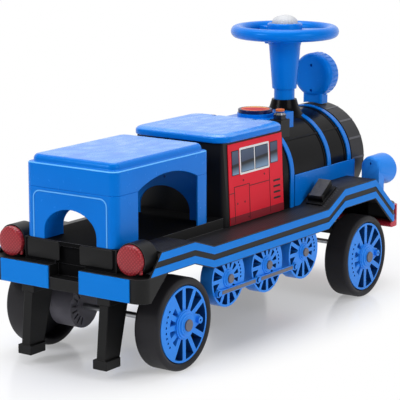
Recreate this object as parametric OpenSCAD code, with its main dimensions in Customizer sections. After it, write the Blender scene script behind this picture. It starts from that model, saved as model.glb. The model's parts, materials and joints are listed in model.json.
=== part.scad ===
// Ride-on train for a toddler, with a seat lid, a lift-off rear stool and steered front wheels.
// +X is forward, +Y is the train's left and +Z is up.
// The origin is on the floor, under the middle of the train.
// Inside from_axle() the X places are counted from the rear axle.

/* [Chassis] */
// Width over the side skirts
body_w = 320; // [300:1:340]
// Height of the running boards above the floor
deck_h = 194; // [188:1:200]
// Height of the rear deck and of the platform under the stool
rear_deck_h = 212; // [206:1:218]
// Height of the front deck over the front wheels
front_deck_h = 223; // [217:1:230]
// Height of the side skirts
skirt_h = 38; // [32:1:42]
// Thickness of the deck
deck_t = 4; // [3:0.5:5]
// Wall of the moulded shells
wall = 3; // [2:0.5:4]
// From the rear axle back to the ends of the rear feet
rear_overhang = 124; // [122:1:130]
// From the front axle to the nose of the front bumper
front_overhang = 148; // [146:1:160]

/* [Wheels] */
// Outside diameter of the tyres
tyre_d = 156; // [150:1:160]
// Width of the tyres
tyre_w = 48; // [42:1:52]
// Diameter of the wheel discs inside the tyres
rim_d = 128; // [118:1:134]
// Diameter of the axles
axle_d = 10; // [8:0.5:12]
// Diameter of the dummy driving wheels
dummy_d = 98; // [90:1:104]
// From the running boards down to the dummy wheels' centres
dummy_drop = 66; // [60:1:72]

/* [Cab] */
// Length of the cab
cab_l = 193; // [180:1:205]
// Width of the cab at its foot
cab_w = 198; // [192:1:206]
// Width of the cab at its rim
cab_top_w = 184; // [178:1:190]
// Height of the cab above the running boards
cab_h = 148; // [136:1:160]
// Thickness of the seat lid
seat_t = 16; // [14:0.5:20]
// How far the seat lid stands out past the cab
seat_over = 9; // [5:0.5:12]

/* [Boiler] */
// Diameter of the boiler
boiler_d = 190; // [184:1:194]
// Height of the boiler's axis above the front deck
boiler_rise = 31; // [27:1:35]
// Diameter of the smokebox
smokebox_d = 196; // [192:1:202]
// Length of the smokebox
smokebox_l = 46; // [40:1:52]
// From the front axle to the front of the smokebox
smokebox_reach = 92; // [86:1:96]
// Diameter of the top lamp
top_lamp_d = 85; // [77:1:90]
// Diameter of the dial
dial_d = 64; // [56:1:66]

/* [Stool] */
// Length of the stool
stool_l = 262; // [250:1:275]
// Width of the stool
stool_w = 188; // [178:1:190]
// Height of the stool's leg panels
stool_leg_h = 86; // [76:1:96]
// Height of the stool's lid without its pad
stool_lid_h = 40; // [34:1:46]

/* [Steering] */
// Outside diameter of the steering wheel
steer_d = 204; // [190:1:214]
// Thickness of the steering wheel's ring
ring_d = 23; // [18:0.5:26]
// Height of the steering wheel's ring above the floor
steer_h = 501; // [490:1:515]
// Diameter of the steering shaft
shaft_d = 12; // [10:0.5:14]

/* [Hidden] */
$fn = 64;

// Colours
black = "#202022";
blue = "#0a78dc";
red = "#d8283a";
grey = "#77757a";
steel = "#b8babd";

// Clearances and the overrun of cuts
over = 1;
run_gap = 0.05;
seat_gap = 0.2;
loose_gap = 0.3;

// Deck line, from the rear axle or the front axle
deck_back = 62;
rear_flat = 28;
rear_ramp_l = 55;
front_ramp_l = 58;
brow_back = 83;
brow_front = 31;
apron_reach = 124;
apron_flat = 24;
apron_h = 165;
skirt_rake = 32;
front_corner_r = 25;
stripe_h = 12.5;
stripe_edge = 1.5;
stripe_t = 1;

// Stool, platform and cab along the train
stool_back = 97;
platform_margin = 1;
stool_gap = 40;
console_l = 100;
shroud_r = 50;
steer_back = 44;
cab_x = stool_l + stool_gap - stool_back;
cab_end = cab_x + cab_l;
steer_x = cab_end + console_l + shroud_r;
wheelbase = steer_x + steer_back;
nose_x = wheelbase + front_overhang;
mid_x = (nose_x - rear_overhang) / 2;
platform_x0 = -stool_back - platform_margin;
half_w = body_w / 2;
tyre_r = tyre_d / 2;
boiler_r = boiler_d / 2;
smokebox_r = smokebox_d / 2;
smokebox_x1 = wheelbase + smokebox_reach;
smokebox_x0 = smokebox_x1 - smokebox_l;
apron_x = wheelbase + apron_reach;
ramp_x1 = wheelbase - brow_back;
ramp_x0 = ramp_x1 - front_ramp_l;
cab_top = deck_h + cab_h;
above_decks = deck_h + rear_deck_h + front_deck_h;
boiler_h = front_deck_h + boiler_rise;
boiler_top = boiler_h + boiler_r;

deck_line = [
    [-deck_back, rear_deck_h],
    [rear_flat, rear_deck_h],
    [rear_flat + rear_ramp_l, deck_h],
    [ramp_x0, deck_h],
    [ramp_x1, front_deck_h],
    [wheelbase + brow_front, front_deck_h],
    [apron_x - apron_flat, apron_h],
    [apron_x, apron_h]
];

// Rear bumper, lamps and legs
bumper_top = rear_deck_h - skirt_h;
bumper_h = 40;
bumper_back = 114;
bumper_l = 42;
bumper_corner_r = 20;
cheek_w = 12;
cheek_foot_l = 22;
cheek_top_l = 66;
bumper_z = bumper_top - bumper_h;
plate_t = 2.5;
plate_y0 = 32;
plate_end = 26;
plate_y1 = half_w - plate_end;
plate_edge = 1;
recess_w = 62;
recess_l = 24;
recess_z_share = 0.5;
recess_top = 7;
recess_deep = 7.5;
tail_r = 27.5;
tail_gap = 2.5;
tail_y = stool_w / 2 + tail_gap + tail_r;
tail_sink = 1.5;
tail_z = bumper_top + tail_r - tail_sink;
tail_back = 96;
tail_seat = 3;
tail_lip = 2.5;
tail_proud = 6;
tail_dome = 2.5;
leg_y = 79;
leg_w = 18;
leg_l = 34;
leg_flare = 22;
collar_h = 12;
collar_w = 26;
collar_l = 39;
foot_w = 28;
foot_l = 38;
foot_h = 16;
foot_z = 17;

// Front bumper and headlamps
nose_under = 44;
nose_h = 42;
nose_drop = 8.5;
nose_top = apron_h - nose_drop;
nose_z = nose_top - nose_h;
nose_r = 9;
nose_in = 6;
nose_w = body_w - 2 * nose_in;
nose_corner_r = 26;
head_gap = 10;
head_back_r = 22;
head_front_r = 30;
head_y = smokebox_r + head_gap + head_front_r;
head_x = 48;
head_l = 50;
head_rise = 39;
head_top = front_deck_h + head_rise;
head_flat = 17;
head_slice = 2;
head_soft = 7;
head_steps = 3;
head_foot_w = 38;
head_foot_l = 20;
head_lens_t = 4;
head_lens_r = 26;
head_hole_r = 2.2;
head_hole_share = 0.64;
head_hole_l = 6;

// Cab, seat lid and hinge
cab_corner_r = 14;
panel_t = 1.5;
panel_x = 14;
panel_end = 6;
panel_foot = 2;
panel_rim = 4;
seat_front_gap = 1;
seat_corner_r = 20;
seat_recess = 10;
seat_rim = 16;
hinge_r = 2.5;
hinge_lug_t = 10;
hinge_lug_y = 44;
hinge_lug_r = 6;
hinge_lug_h = 22;
hinge_pin_l = 130;
seat_edge_r = seat_t / 2;
seat_soft = 20;
edge_steps = 8;
hinge_x = cab_end - seat_front_gap - seat_edge_r + seat_gap;
hinge_z = cab_top + seat_edge_r;

// Boiler fittings
band_t = 2.5;
band_l = 12;
band_rear = 21;
band_front = 3;
band_mid_share = 0.63;
valance_t = 3;
valance_gap = 3;
valance_lap = 12;
valance_drop = 1;
valance_top = boiler_h - valance_drop;
rib_n = 8;
rib_t = 2;
rib_w = 4;
steer_hole_r = 24;
lamp_l = 36;
lamp_rise = 55.5;
lamp_h = boiler_h + smokebox_r + lamp_rise;
lamp_back = 6;
lamp_edge = 4;
lamp_soft = 11;
lamp_neck_w = 42;
lamp_neck_in = 4;
lamp_neck_corner_r = 5;
lamp_lens_r = 31;
lamp_lens_t = 3;
lamp_rib_n = 28;
lamp_rib_r = 2.6;
lamp_hole_r = 2.8;
lamp_hole_l = 6;
lamp_hole_rise = 19;
lamp_hole_drop = 30;

// Console
console_gap = 4;
console_w = 88;
console_edge = 3;
console_rise = 3;
console_top = boiler_top + console_rise;
dial_share = 0.5;
dial_boss_t = 1.5;
dial_boss_h = 7;
bezel_h = 7;
bezel_t = 5;
dial_face_t = 3;
pillar_l = 34;
pillar_y0 = 12;
pillar_y1 = 56;
pillar_h = 8;
pillar_front = 5.5;
button_r = 8.5;
button_h = 8;
button_out = 4;
button_y = 33;
button_front = 11;
block_x = 29;
block_l = 30;
block_y0 = 46;
block_y1 = 70;
block_rise = 3;
block_top = boiler_top + block_rise;
knob_r = 12;
knob_h = 12;
knob_stem_r = 4;
knob_stem_h = 6;
knob_n = 8;

// Pedal, in the front ramp's own directions
pedal_w = 26;
pedal_base_w = 34;
pedal_gap = 10;
pedal_base_u0 = 6;
pedal_base_u1 = 64;
pedal_base_t = 3;
pedal_u = 19;
pedal_v = 8.5;
pedal_l = 40;
pedal_toe = 12;
pedal_lift = 5;
pedal_heel_r = 5;
pedal_pin_r = 2;
pedal_ear_t = 3;
pedal_ear_r = 5;
ramp_angle = atan2(front_deck_h - deck_h, front_ramp_l);
pedal_base_y0 = boiler_r + valance_t + pedal_gap;
pedal_base_y1 = pedal_base_y0 + pedal_base_w;
pedal_y0 = pedal_base_y0 + pedal_ear_t + loose_gap;
pedal_y1 = pedal_y0 + pedal_w;

// Road wheels
hub_r = 14;
hub_step_r = 25;
hub_out = 30;
hub_step_out = 5;
hub_in = 28;
hub_gap = 2;
face_in = 2;
spoke_n = 12;
spoke_w = 9;
spoke_t = 16;
web_t = 3;
rim_t = 4;
crank_share = 0.64;
boss_r = 9;
crank_pin_r = 6;
crank_pin_out = 6;
crank_hole_r = 1.8;
counter_share = 0.66;
counter_half = 56;
dot_n = 8;
dot_r = 2;
dot_deep = 2;
cap_r = 10;
cap_t = 3;
tyre_edge_r = 9;
wheel_y = half_w - tyre_w / 2;
hub_y = wheel_y - hub_in - hub_gap;

// Dummy wheels
dummy_n = 3;
dummy_w = 24;
dummy_y = half_w - wall - dummy_w / 2 - wall;
dummy_gap = 22;
dummy_clear = 7;
dummy_rim_t = 4;
dummy_hub_r = 11;
dummy_step_r = 18;
dummy_hub_out = 4;
dummy_boss_r = 7;
dummy_pin_r = 4.5;
dummy_crank_angle = 210.5;
dummy_spoke_w = 7;
dummy_crank_share = 0.87;
rod_w = 9;
rod_t = 4;
rod_eye_r = 7;
rod_pin_out = 7;
frame_t = 4;
frame_h = 74;
dummy_r = dummy_d / 2;
dummy_h = deck_h - dummy_drop;
dummy_pitch = dummy_d + dummy_gap;
dummy_x0 = tyre_r + dummy_clear + dummy_r;

// Rear axle, gearbox and battery
bracket_t = 10;
bracket_gap = 1;
bracket_r = 28;
bracket_top_l = 52;
bracket_y = hub_y - bracket_t;
platform_w = 2 * (bracket_y - bracket_gap);
gear_w = 46;
gear_y0 = bracket_y - gear_w;
gear_r = 38;
gear_arm_r = 28;
gear_arm_x = 60;
gear_arm_z = 22;
gear_gap = 0.4;
gear_neck_w = 50;
gear_slot_n = 8;
gear_slot_pitch = 21;
gear_slot_r = 20;
gear_slot_l = 13;
gear_slot_w = 3.5;
gear_slot_deep = 3;
motor_r = 18;
motor_l = 62;
motor_nose_r = 7;
motor_nose_l = 6;
battery_l = 46;
battery_w = 70;
battery_h = 101;
battery_gap = 3;

// Front beam, knuckles and tie rod
king_d = 10;
beam_l = 30;
beam_h = 22;
beam_gap = 12;
beam_post_y = 60;
beam_post_w = 20;
boss_king_r = 12;
knuckle_r = 13;
knuckle_drop = 14;
arm_r = 22;
arm_rise = 14;
arm_t = 7;
arm_w = 12;
link_pin_r = 3;
link_pin_h = 10;
king_head_r = 9;
king_head_t = 3;
rod_plate_t = 5;
rod_plate_w = 16;
slot_y = 0.4;
slot_x = 2;
steer_boss_r = 13;
steer_boss_h = 18;
crank_t = 7;
crank_gap = 3;
crank_r = 7;
king_y = hub_y - knuckle_r;
arm_z = tyre_r + arm_rise;
arm_top = arm_z + arm_t;
rod_z = arm_top + loose_gap;
beam_z0 = rod_z + rod_plate_t + beam_gap;
beam_z1 = beam_z0 + beam_h;

// Steering column, wheel and horn
sleeve_r = 19.5;
sleeve_in = 12;
sleeve_show = 20;
column_r0 = 23;
column_r1 = 30;
flange_t = 5;
flange_r = 31;
flange_tab = 9;
flange_tab_w = 16;
column_drop = 25;
hub_wheel_r = 33;
hub_wheel_h = 36;
spoke_wheel_w = 30;
spoke_wheel_t = 9;
spoke_wheel_n = 3;
horn_r = 24.3;
horn_seat = 8;
horn_gap = 0.6;
horn_travel = 4;
horn_dome = 9;
horn_side = 6;
shroud_rises = [-19, -12, -2, 9, 24];
shroud_shares = [1, 0.9, 0.7, 0.56, 0.47];
shroud_t = 2.5;
column_top = steer_h - column_drop + flange_t;
shroud_n = len(shroud_rises) - 1;
shroud_top = boiler_top + shroud_rises[shroud_n];

// Stool
stool_t = 3;
stool_corner_r = 14;
stool_rear_leg = 60;
stool_front_leg = 36;
stool_arch_w = 108;
stool_arch_h = 54;
stool_arch_crown = 40;
arch_steps = 32;
stool_side_rise = 19;
pad_h = 12;
pad_inset = 6;
pad_corner_r = 16;
stool_hole_r = 2.2;
stool_hole_z = 70;
stool_x1 = stool_l - stool_back;
stool_seam = rear_deck_h + stool_leg_h;
stool_rim = stool_seam + stool_lid_h;

// Placing and shaping
module from_axle() {
    translate([-mid_x, 0, 0]) children();
}

module both_sides() {
    children();
    mirror([0, 1, 0]) children();
}

// An outline in X and Z, drawn from y0 to y1
module prism_y(y0, y1) {
    translate([0, y1, 0]) rotate([90, 0, 0]) linear_extrude(y1 - y0) children();
}

// An outline in Y and Z, drawn from x0 to x1
module prism_x(x0, x1) {
    translate([x0, 0, 0]) rotate([90, 0, 90]) linear_extrude(x1 - x0) children();
}

// An outline in X and Y, drawn from z0 to z1
module prism_z(z0, z1) {
    translate([0, 0, z0]) linear_extrude(z1 - z0) children();
}

module rod_x(r, x0, x1) {
    translate([x0, 0, 0]) rotate([0, 90, 0]) cylinder(r = r, h = x1 - x0);
}

module rod_y(r, y0, y1) {
    translate([0, y1, 0]) rotate([90, 0, 0]) cylinder(r = r, h = y1 - y0);
}

// A box between two corners
module box(low, high) {
    translate(low) cube(high - low);
}

// A rectangle between two corners with round corners
module round_box_2d(low, high, r) {
    translate([low.x + r, low.y]) square([high.x - low.x - 2 * r, high.y - low.y]);
    translate([low.x, low.y + r]) square([high.x - low.x, high.y - low.y - 2 * r]);
    for (x = [low.x + r, high.x - r], y = [low.y + r, high.y - r])
        translate([x, y]) circle(r);
}

// A strip of height h under the deck line
module under_deck(h) {
    polygon(concat(deck_line, [for (i = [len(deck_line) - 1 : -1 : 0]) deck_line[i] - [0, h]]));
}

// All that lies below the deck line
module below_deck() {
    polygon(concat(deck_line, [[apron_x, 0], [-deck_back, 0]]));
}

// The skirt's outline, raked at the rear
module skirt_2d() {
    under_deck(skirt_h);
    polygon([
        [-deck_back, rear_deck_h],
        [-deck_back, rear_deck_h - skirt_h],
        [-deck_back - skirt_rake, rear_deck_h - skirt_h]
    ]);
}

// The chassis seen from above, with round front corners, grown by g
module plan_2d(g) {
    x0 = -deck_back - skirt_rake - over;
    x1 = apron_x + g;
    w = half_w + g;
    r = front_corner_r + g;
    translate([x0, -w]) square([x1 - r - x0, 2 * w]);
    translate([x0, -(w - r)]) square([x1 - x0, 2 * (w - r)]);
    for (s = [-1, 1])
        translate([x1 - r, s * (w - r)]) circle(r);
}

module deck_shell() {
    difference() {
        intersection() {
            prism_y(-half_w, half_w) skirt_2d();
            prism_z(0, above_decks) plan_2d(0);
        }
        intersection() {
            prism_y(wall - half_w, half_w - wall) translate([0, -deck_t]) {
                under_deck(skirt_h);
                translate([-deck_back - skirt_rake - over, rear_deck_h - 2 * skirt_h])
                    square([skirt_rake + 2 * over, 2 * skirt_h + deck_t + over]);
            }
            prism_z(0, above_decks) plan_2d(-wall);
        }
    }
}

module chassis_shell() {
    color(black) from_axle() {
        chassis_walls();
        box(
            [platform_x0 + recess_deep, -recess_w / 2 - wall, bumper_top],
            [platform_x0 + recess_deep + wall, recess_w / 2 + wall, rear_deck_h - deck_t + over]
        );
    }
}

module chassis_walls() {
    difference() {
        union() {
            deck_shell();
            box([platform_x0, -platform_w / 2, bumper_top], [cab_x, platform_w / 2, rear_deck_h]);
            translate([steer_x, 0, front_deck_h - steer_boss_h]) cylinder(r = steer_boss_r, h = steer_boss_h);
        }
        box(
            [platform_x0 + wall, wall - platform_w / 2, bumper_top - over],
            [cab_x - wall, platform_w / 2 - wall, rear_deck_h - deck_t]
        );
        box(
            [platform_x0 - over, -recess_w / 2, bumper_top - over],
            [platform_x0 + wall + over, recess_w / 2, rear_deck_h - recess_top]
        );
        box([platform_x0 - over, -platform_w / 2, rear_deck_h], [cab_x, platform_w / 2, above_decks]);
        translate([steer_x, 0, 0]) cylinder(r = shaft_d / 2 + run_gap, h = front_deck_h + over);
        tail_lamp_room();
    }
}

// Room for the tail lamps beside the stool
module tail_lamp_room() {
    both_sides() translate([0, tail_y, tail_z]) rod_x(tail_r + seat_gap, -tail_back - tail_r, -deck_back);
}

module side_stripes() {
    x0 = -deck_back - skirt_rake;
    color(blue) from_axle() difference() {
        intersection() {
            prism_y(-half_w - stripe_t, half_w + stripe_t) intersection() {
                skirt_2d();
                for (drop = [stripe_edge, skirt_h - stripe_edge - stripe_h])
                    translate([0, -drop]) {
                        under_deck(stripe_h);
                        translate([x0, rear_deck_h - stripe_h]) square([skirt_rake, stripe_h]);
                    }
            }
            prism_z(0, above_decks) difference() {
                plan_2d(stripe_t);
                plan_2d(0);
                square_at([x0 - 2 * over, front_corner_r - half_w], [nose_x, half_w - front_corner_r]);
            }
        }
        box(
            [apron_x - nose_r, -nose_w / 2 - seat_gap, nose_z],
            [nose_x, nose_w / 2 + seat_gap, nose_top + seat_gap]
        );
        tail_lamp_room();
    }
}

module rear_bumper() {
    color(black) from_axle() difference() {
        union() {
            intersection() {
                prism_z(bumper_z, bumper_top) round_box_2d(
                    [-bumper_back, -half_w],
                    [cheek_top_l - bumper_back + bumper_corner_r, half_w],
                    bumper_corner_r
                );
                union() {
                    box(
                        [-bumper_back, cheek_w - half_w, bumper_z],
                        [bumper_l - bumper_back, half_w - cheek_w, bumper_top]
                    );
                    both_sides() prism_y(half_w - cheek_w, half_w) polygon([
                        [-bumper_back, bumper_z],
                        [cheek_foot_l - bumper_back, bumper_z],
                        [cheek_top_l - bumper_back, bumper_top],
                        [-bumper_back, bumper_top]
                    ]);
                }
            }
            both_sides() translate([0, tail_y, tail_z]) rod_x(tail_r, -tail_back, -deck_back);
        }
        box(
            [-bumper_back - over, -recess_w / 2, bumper_z + bumper_h * recess_z_share],
            [recess_l - bumper_back, recess_w / 2, bumper_top + over]
        );
        both_sides() translate([0, tail_y, tail_z])
            rod_x(tail_r - tail_lip + seat_gap, -tail_back - over, tail_seat - tail_back);
    }
}

module bumper_plates() {
    color(blue) from_axle() both_sides() box(
        [-bumper_back - plate_t, plate_y0, bumper_z + plate_edge],
        [-bumper_back, plate_y1, bumper_top - plate_edge]
    );
}

module tail_lamp_lenses() {
    lens_r = tail_r - tail_lip;
    color("#b02030") from_axle() both_sides() translate([-tail_back, tail_y, tail_z])
        rotate([0, 90, 0]) rotate_extrude() polygon(concat(
            [[0, tail_seat], [lens_r, tail_seat]],
            [for (i = [0 : edge_steps]) let (t = 90 * i / edge_steps)
                [lens_r * cos(t), -tail_proud - tail_dome * sin(t)]]
        ));
}

module anti_tip_legs() {
    mid = bumper_l / 2 - bumper_back;
    foot_mid = foot_l / 2 - rear_overhang;
    color(black) from_axle() both_sides() translate([0, leg_y, 0]) {
        prism_y(-leg_w / 2, leg_w / 2) polygon([
            [mid - leg_l / 2, bumper_z],
            [mid + leg_l / 2 + leg_flare, bumper_z],
            [foot_mid + leg_l / 2, foot_z],
            [foot_mid - leg_l / 2, foot_z]
        ]);
        box(
            [mid - collar_l / 2, -collar_w / 2, bumper_z - collar_h],
            [mid + collar_l / 2, collar_w / 2, bumper_z]
        );
        box(
            [-rear_overhang, -foot_w / 2, foot_z],
            [foot_l - rear_overhang, foot_w / 2, foot_z + foot_h]
        );
    }
}

module front_bumper() {
    lip = apron_h - skirt_h;
    lip_r = min(nose_r, (lip - nose_z) / 2 - seat_gap);
    color(red) from_axle() intersection() {
        prism_y(-nose_w / 2, nose_w / 2) {
            round_box_2d([apron_x, nose_z], [nose_x, nose_top], nose_r);
            square_at([apron_x, nose_z + lip_r], [apron_x + nose_r, nose_top]);
            round_box_2d([nose_x - nose_under, nose_z], [nose_x, lip], lip_r);
        }
        prism_z(0, nose_top + over) round_box_2d(
            [nose_x - nose_under - nose_corner_r, -nose_w / 2], [nose_x, nose_w / 2], nose_corner_r
        );
    }
}

module square_at(low, high) {
    translate(low) square(high - low);
}

module headlamp_housings() {
    x0 = wheelbase + head_x;
    color(blue) from_axle() both_sides() translate([x0, head_y, head_top]) difference() {
        union() {
            intersection() {
                hull() {
                    for (t = [0 : 90 / head_steps : 90])
                        translate([head_soft - head_soft * cos(t), 0, -head_back_r])
                            rod_x(head_back_r - head_soft + head_soft * sin(t), 0, head_slice, $fn = 40);
                    translate([0, 0, -head_front_r])
                        rod_x(head_front_r, head_l - head_slice, head_l, $fn = 40);
                }
                prism_y(-2 * head_front_r, 2 * head_front_r) polygon([
                    [-over, over],
                    [head_l + over, over],
                    [head_l + over, -2 * head_front_r - over],
                    [head_slice, -head_back_r - head_flat],
                    [-over, -head_back_r - head_flat]
                ]);
            }
            difference() {
                box([0, -head_foot_w / 2, apron_h - head_top], [head_foot_l, head_foot_w / 2, -head_back_r]);
                translate([-x0, 0, -head_top]) prism_y(-body_w, body_w) below_deck();
            }
        }
        translate([0, 0, -head_front_r]) rod_x(head_lens_r + seat_gap, head_l - head_lens_t, head_l + over);
        translate([0, 0, -head_back_r * head_hole_share]) rod_x(head_hole_r, -over, head_hole_l);
    }
}

module headlamp_lenses() {
    color("#dfe4ea") from_axle() both_sides()
        translate([wheelbase + head_x, head_y, head_top - head_front_r])
            rod_x(head_lens_r, head_l - head_lens_t, head_l);
}

// The cab seen from the end, grown by g
module cab_end_2d(g) {
    polygon([
        [-cab_w / 2 - g, deck_h],
        [cab_w / 2 + g, deck_h],
        [cab_top_w / 2 + g, cab_top],
        [-cab_top_w / 2 - g, cab_top]
    ]);
}

module cab_shell() {
    color(black) from_axle() difference() {
        union() {
            difference() {
                intersection() {
                    prism_x(cab_x, cab_end) cab_end_2d(0);
                    prism_z(deck_h, cab_top)
                        round_box_2d([cab_x, -cab_w / 2], [cab_end, cab_w / 2], cab_corner_r);
                }
                intersection() {
                    prism_x(cab_x + wall, cab_end - wall) cab_end_2d(-wall);
                    prism_z(deck_h + wall, cab_top + over)
                        round_box_2d(
                            [cab_x + wall, wall - cab_w / 2],
                            [cab_end - wall, cab_w / 2 - wall],
                            cab_corner_r - wall
                        );
                }
                box(
                    [cab_x + wall, wall - cab_top_w / 2, cab_top - over],
                    [cab_end - wall, cab_top_w / 2 - wall, cab_top + over]
                );
            }
            both_sides() prism_y(hinge_lug_y - hinge_lug_t / 2, hinge_lug_y + hinge_lug_t / 2) {
                translate([hinge_x, hinge_z]) circle(hinge_lug_r);
                square_at([hinge_x - hinge_lug_r, cab_top - hinge_lug_h], [cab_end - wall / 2, cab_top]);
                square_at([hinge_x - hinge_lug_r, cab_top], [hinge_x + hinge_lug_r, hinge_z]);
            }
        }
        translate([hinge_x, 0, hinge_z])
            rod_y(hinge_r, -hinge_lug_y - hinge_lug_t, hinge_lug_y + hinge_lug_t);
    }
}

module cab_panels() {
    color(red) from_axle() difference() {
        prism_x(cab_x + panel_x, cab_end - panel_end) cab_end_2d(panel_t);
        prism_x(cab_x, cab_end) cab_end_2d(0);
        box([cab_x, -body_w, deck_h - over], [cab_end, body_w, deck_h + panel_foot]);
        box([cab_x, -body_w, cab_top - panel_rim], [cab_end, body_w, cab_top + over]);
    }
}

module seat_hinge_pin() {
    color(steel) from_axle() translate([hinge_x, 0, hinge_z])
        rod_y(hinge_r - run_gap, -hinge_pin_l / 2, hinge_pin_l / 2);
}

// The section of the seat lid from a to b: a round lower edge and a long soft upper edge
module lid_2d(a, b) {
    r = seat_edge_r - seat_gap;
    h = seat_t - r;
    polygon(concat(
        [for (i = [0 : 2 * edge_steps]) let (
            t = 90 * i / edge_steps - 90,
            w = t < 0 ? r : seat_soft
        ) [b - w + w * cos(t), cab_top + r + (t < 0 ? r : h) * sin(t)]],
        [for (i = [0 : 2 * edge_steps]) let (
            t = 90 * i / edge_steps + 90,
            w = t > 180 ? r : seat_soft
        ) [a + w + w * cos(t), cab_top + r + (t > 180 ? r : h) * sin(t)]]
    ));
}

module seat_lid() {
    x0 = cab_x - seat_over;
    x1 = cab_end - seat_front_gap;
    y1 = cab_top_w / 2 + seat_over;
    lug = hinge_lug_t / 2 + loose_gap;
    color(blue) from_axle() difference() {
        intersection() {
            prism_y(-y1, y1) lid_2d(x0, x1);
            prism_x(x0, x1) lid_2d(-y1, y1);
            prism_z(cab_top, cab_top + seat_t) round_box_2d([x0, -y1], [x1, y1], seat_corner_r);
        }
        box(
            [x0 + seat_rim, seat_rim - y1, cab_top - over],
            [hinge_x - 2 * seat_rim, y1 - seat_rim, cab_top + seat_recess]
        );
        both_sides() box(
            [hinge_x - seat_rim, hinge_lug_y - lug, cab_top - over],
            [x1 + over, hinge_lug_y + lug, cab_top + seat_t + over]
        );
        translate([hinge_x, 0, hinge_z])
            rod_y(hinge_r, -hinge_pin_l / 2 - loose_gap, hinge_pin_l / 2 + loose_gap);
    }
}

// The boiler's outline, with straight sides below its axis
module boiler_2d(r) {
    translate([0, boiler_h]) circle(r);
    square_at([-r, 0], [r, boiler_h]);
}

module boiler_shell() {
    color(black) from_axle() difference() {
        prism_x(cab_end, smokebox_x0) difference() {
            boiler_2d(boiler_r);
            boiler_2d(boiler_r - wall);
        }
        prism_y(-body_w, body_w) below_deck();
        steering_hole();
    }
}

// The way through the boiler's top for the steering shaft
module steering_hole() {
    translate([steer_x, 0, boiler_h]) cylinder(r = steer_hole_r, h = boiler_d);
}

rear_band_x = cab_end + band_rear;
upper_band_xs = [
    cab_end + (smokebox_x0 - cab_end) * band_mid_share,
    smokebox_x0 - band_front - band_l
];

module boiler_bands() {
    r = boiler_r + seat_gap;
    color(blue) from_axle() {
        difference() {
            prism_x(rear_band_x, rear_band_x + band_l) difference() {
                boiler_2d(r + band_t);
                boiler_2d(r);
            }
            prism_y(-body_w, body_w) below_deck();
        }
        difference() {
            for (x = upper_band_xs)
                prism_x(x, x + band_l) difference() {
                    translate([0, boiler_h]) circle(r + band_t);
                    translate([0, boiler_h]) circle(r);
                    square_at([-boiler_d, 0], [boiler_d, valance_top + seat_gap]);
                }
            steering_hole();
        }
    }
}

valance_x0 = cab_end + band_rear + band_l + valance_gap;
valance_x1 = smokebox_x0 + valance_lap;

module boiler_valances() {
    color(blue) from_axle() both_sides() difference() {
        box([valance_x0, boiler_r, 0], [valance_x1, boiler_r + valance_t, valance_top]);
        prism_y(-body_w, body_w) below_deck();
    }
}

module smokebox() {
    color("#333336") from_axle() difference() {
        union() {
            translate([0, 0, boiler_h]) rod_x(smokebox_r, smokebox_x0, smokebox_x1);
            for (i = [0 : rib_n])
                translate([0, 0, boiler_h]) rotate([180 * i / rib_n, 0, 0]) box(
                    [smokebox_x0, smokebox_r - rib_t, -rib_w / 2],
                    [smokebox_x1, smokebox_r + rib_t, rib_w / 2]
                );
        }
        translate([0, 0, boiler_h]) {
            rod_x(boiler_r - wall, smokebox_x0 - over, smokebox_x1 - wall);
            rod_x(smokebox_r - wall, smokebox_x0 + wall, smokebox_x1 - wall);
        }
        prism_y(-body_w, body_w) below_deck();
        both_sides() box(
            [smokebox_x0 - over, boiler_r - seat_gap, 0],
            [valance_x1 + seat_gap, body_w, valance_top + seat_gap]
        );
    }
}

module top_lamp() {
    x0 = smokebox_x0 + lamp_back;
    r = top_lamp_d / 2;
    color(blue) from_axle() difference() {
        union() {
            translate([x0, 0, lamp_h]) rotate([0, 90, 0]) rotate_extrude() polygon(concat(
                [[0, 0]],
                [for (i = [0 : edge_steps]) let (t = 90 * i / edge_steps)
                    [r - lamp_soft + lamp_soft * sin(t), lamp_soft - lamp_soft * cos(t)]],
                [[r, lamp_l - lamp_edge], [r - lamp_edge, lamp_l], [0, lamp_l]]
            ));
            prism_z(boiler_h, lamp_h - r / 2) round_box_2d(
                [x0 + lamp_neck_in, -lamp_neck_w / 2],
                [x0 + lamp_l - lamp_neck_in, lamp_neck_w / 2],
                lamp_neck_corner_r
            );
        }
        translate([0, 0, boiler_h])
            rod_x(smokebox_r + rib_t + seat_gap, smokebox_x0 - lamp_l, smokebox_x1 + lamp_l);
        translate([x0 + lamp_l - lamp_lens_t, 0, lamp_h]) rod_x(lamp_lens_r + seat_gap, 0, lamp_l);
        for (i = [0 : lamp_rib_n - 1])
            translate([x0, 0, lamp_h]) rotate([360 * i / lamp_rib_n, 0, 0]) translate([0, r, 0])
                rod_x(lamp_rib_r, lamp_l / 3, lamp_l + over);
        for (z = [lamp_hole_rise, -lamp_hole_drop])
            translate([x0, 0, lamp_h + z]) rod_x(lamp_hole_r, -over, lamp_hole_l);
    }
}

module top_lamp_lens() {
    x1 = smokebox_x0 + lamp_back + lamp_l;
    color("#e8d9a0") from_axle() translate([0, 0, lamp_h]) rod_x(lamp_lens_r, x1 - lamp_lens_t, x1);
}

console_x0 = cab_end + console_gap;
console_x1 = steer_x - shroud_r - console_edge;
dial_x = cab_end + console_l * dial_share;
pillar_x1 = console_x1 - pillar_front + console_edge;
button_x = pillar_x1 - button_front;
pillar_top = console_top + pillar_h;
block_x0 = cab_end + block_x;

// What stands on the boiler, cut to its round top and to the bands
module on_boiler() {
    difference() {
        children();
        translate([0, 0, boiler_h]) {
            rod_x(boiler_r + seat_gap, cab_end - over, smokebox_x0);
            for (x = concat(rear_band_x, upper_band_xs))
                rod_x(boiler_r + band_t + 2 * seat_gap, x - seat_gap, x + band_l + seat_gap);
        }
    }
}

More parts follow.
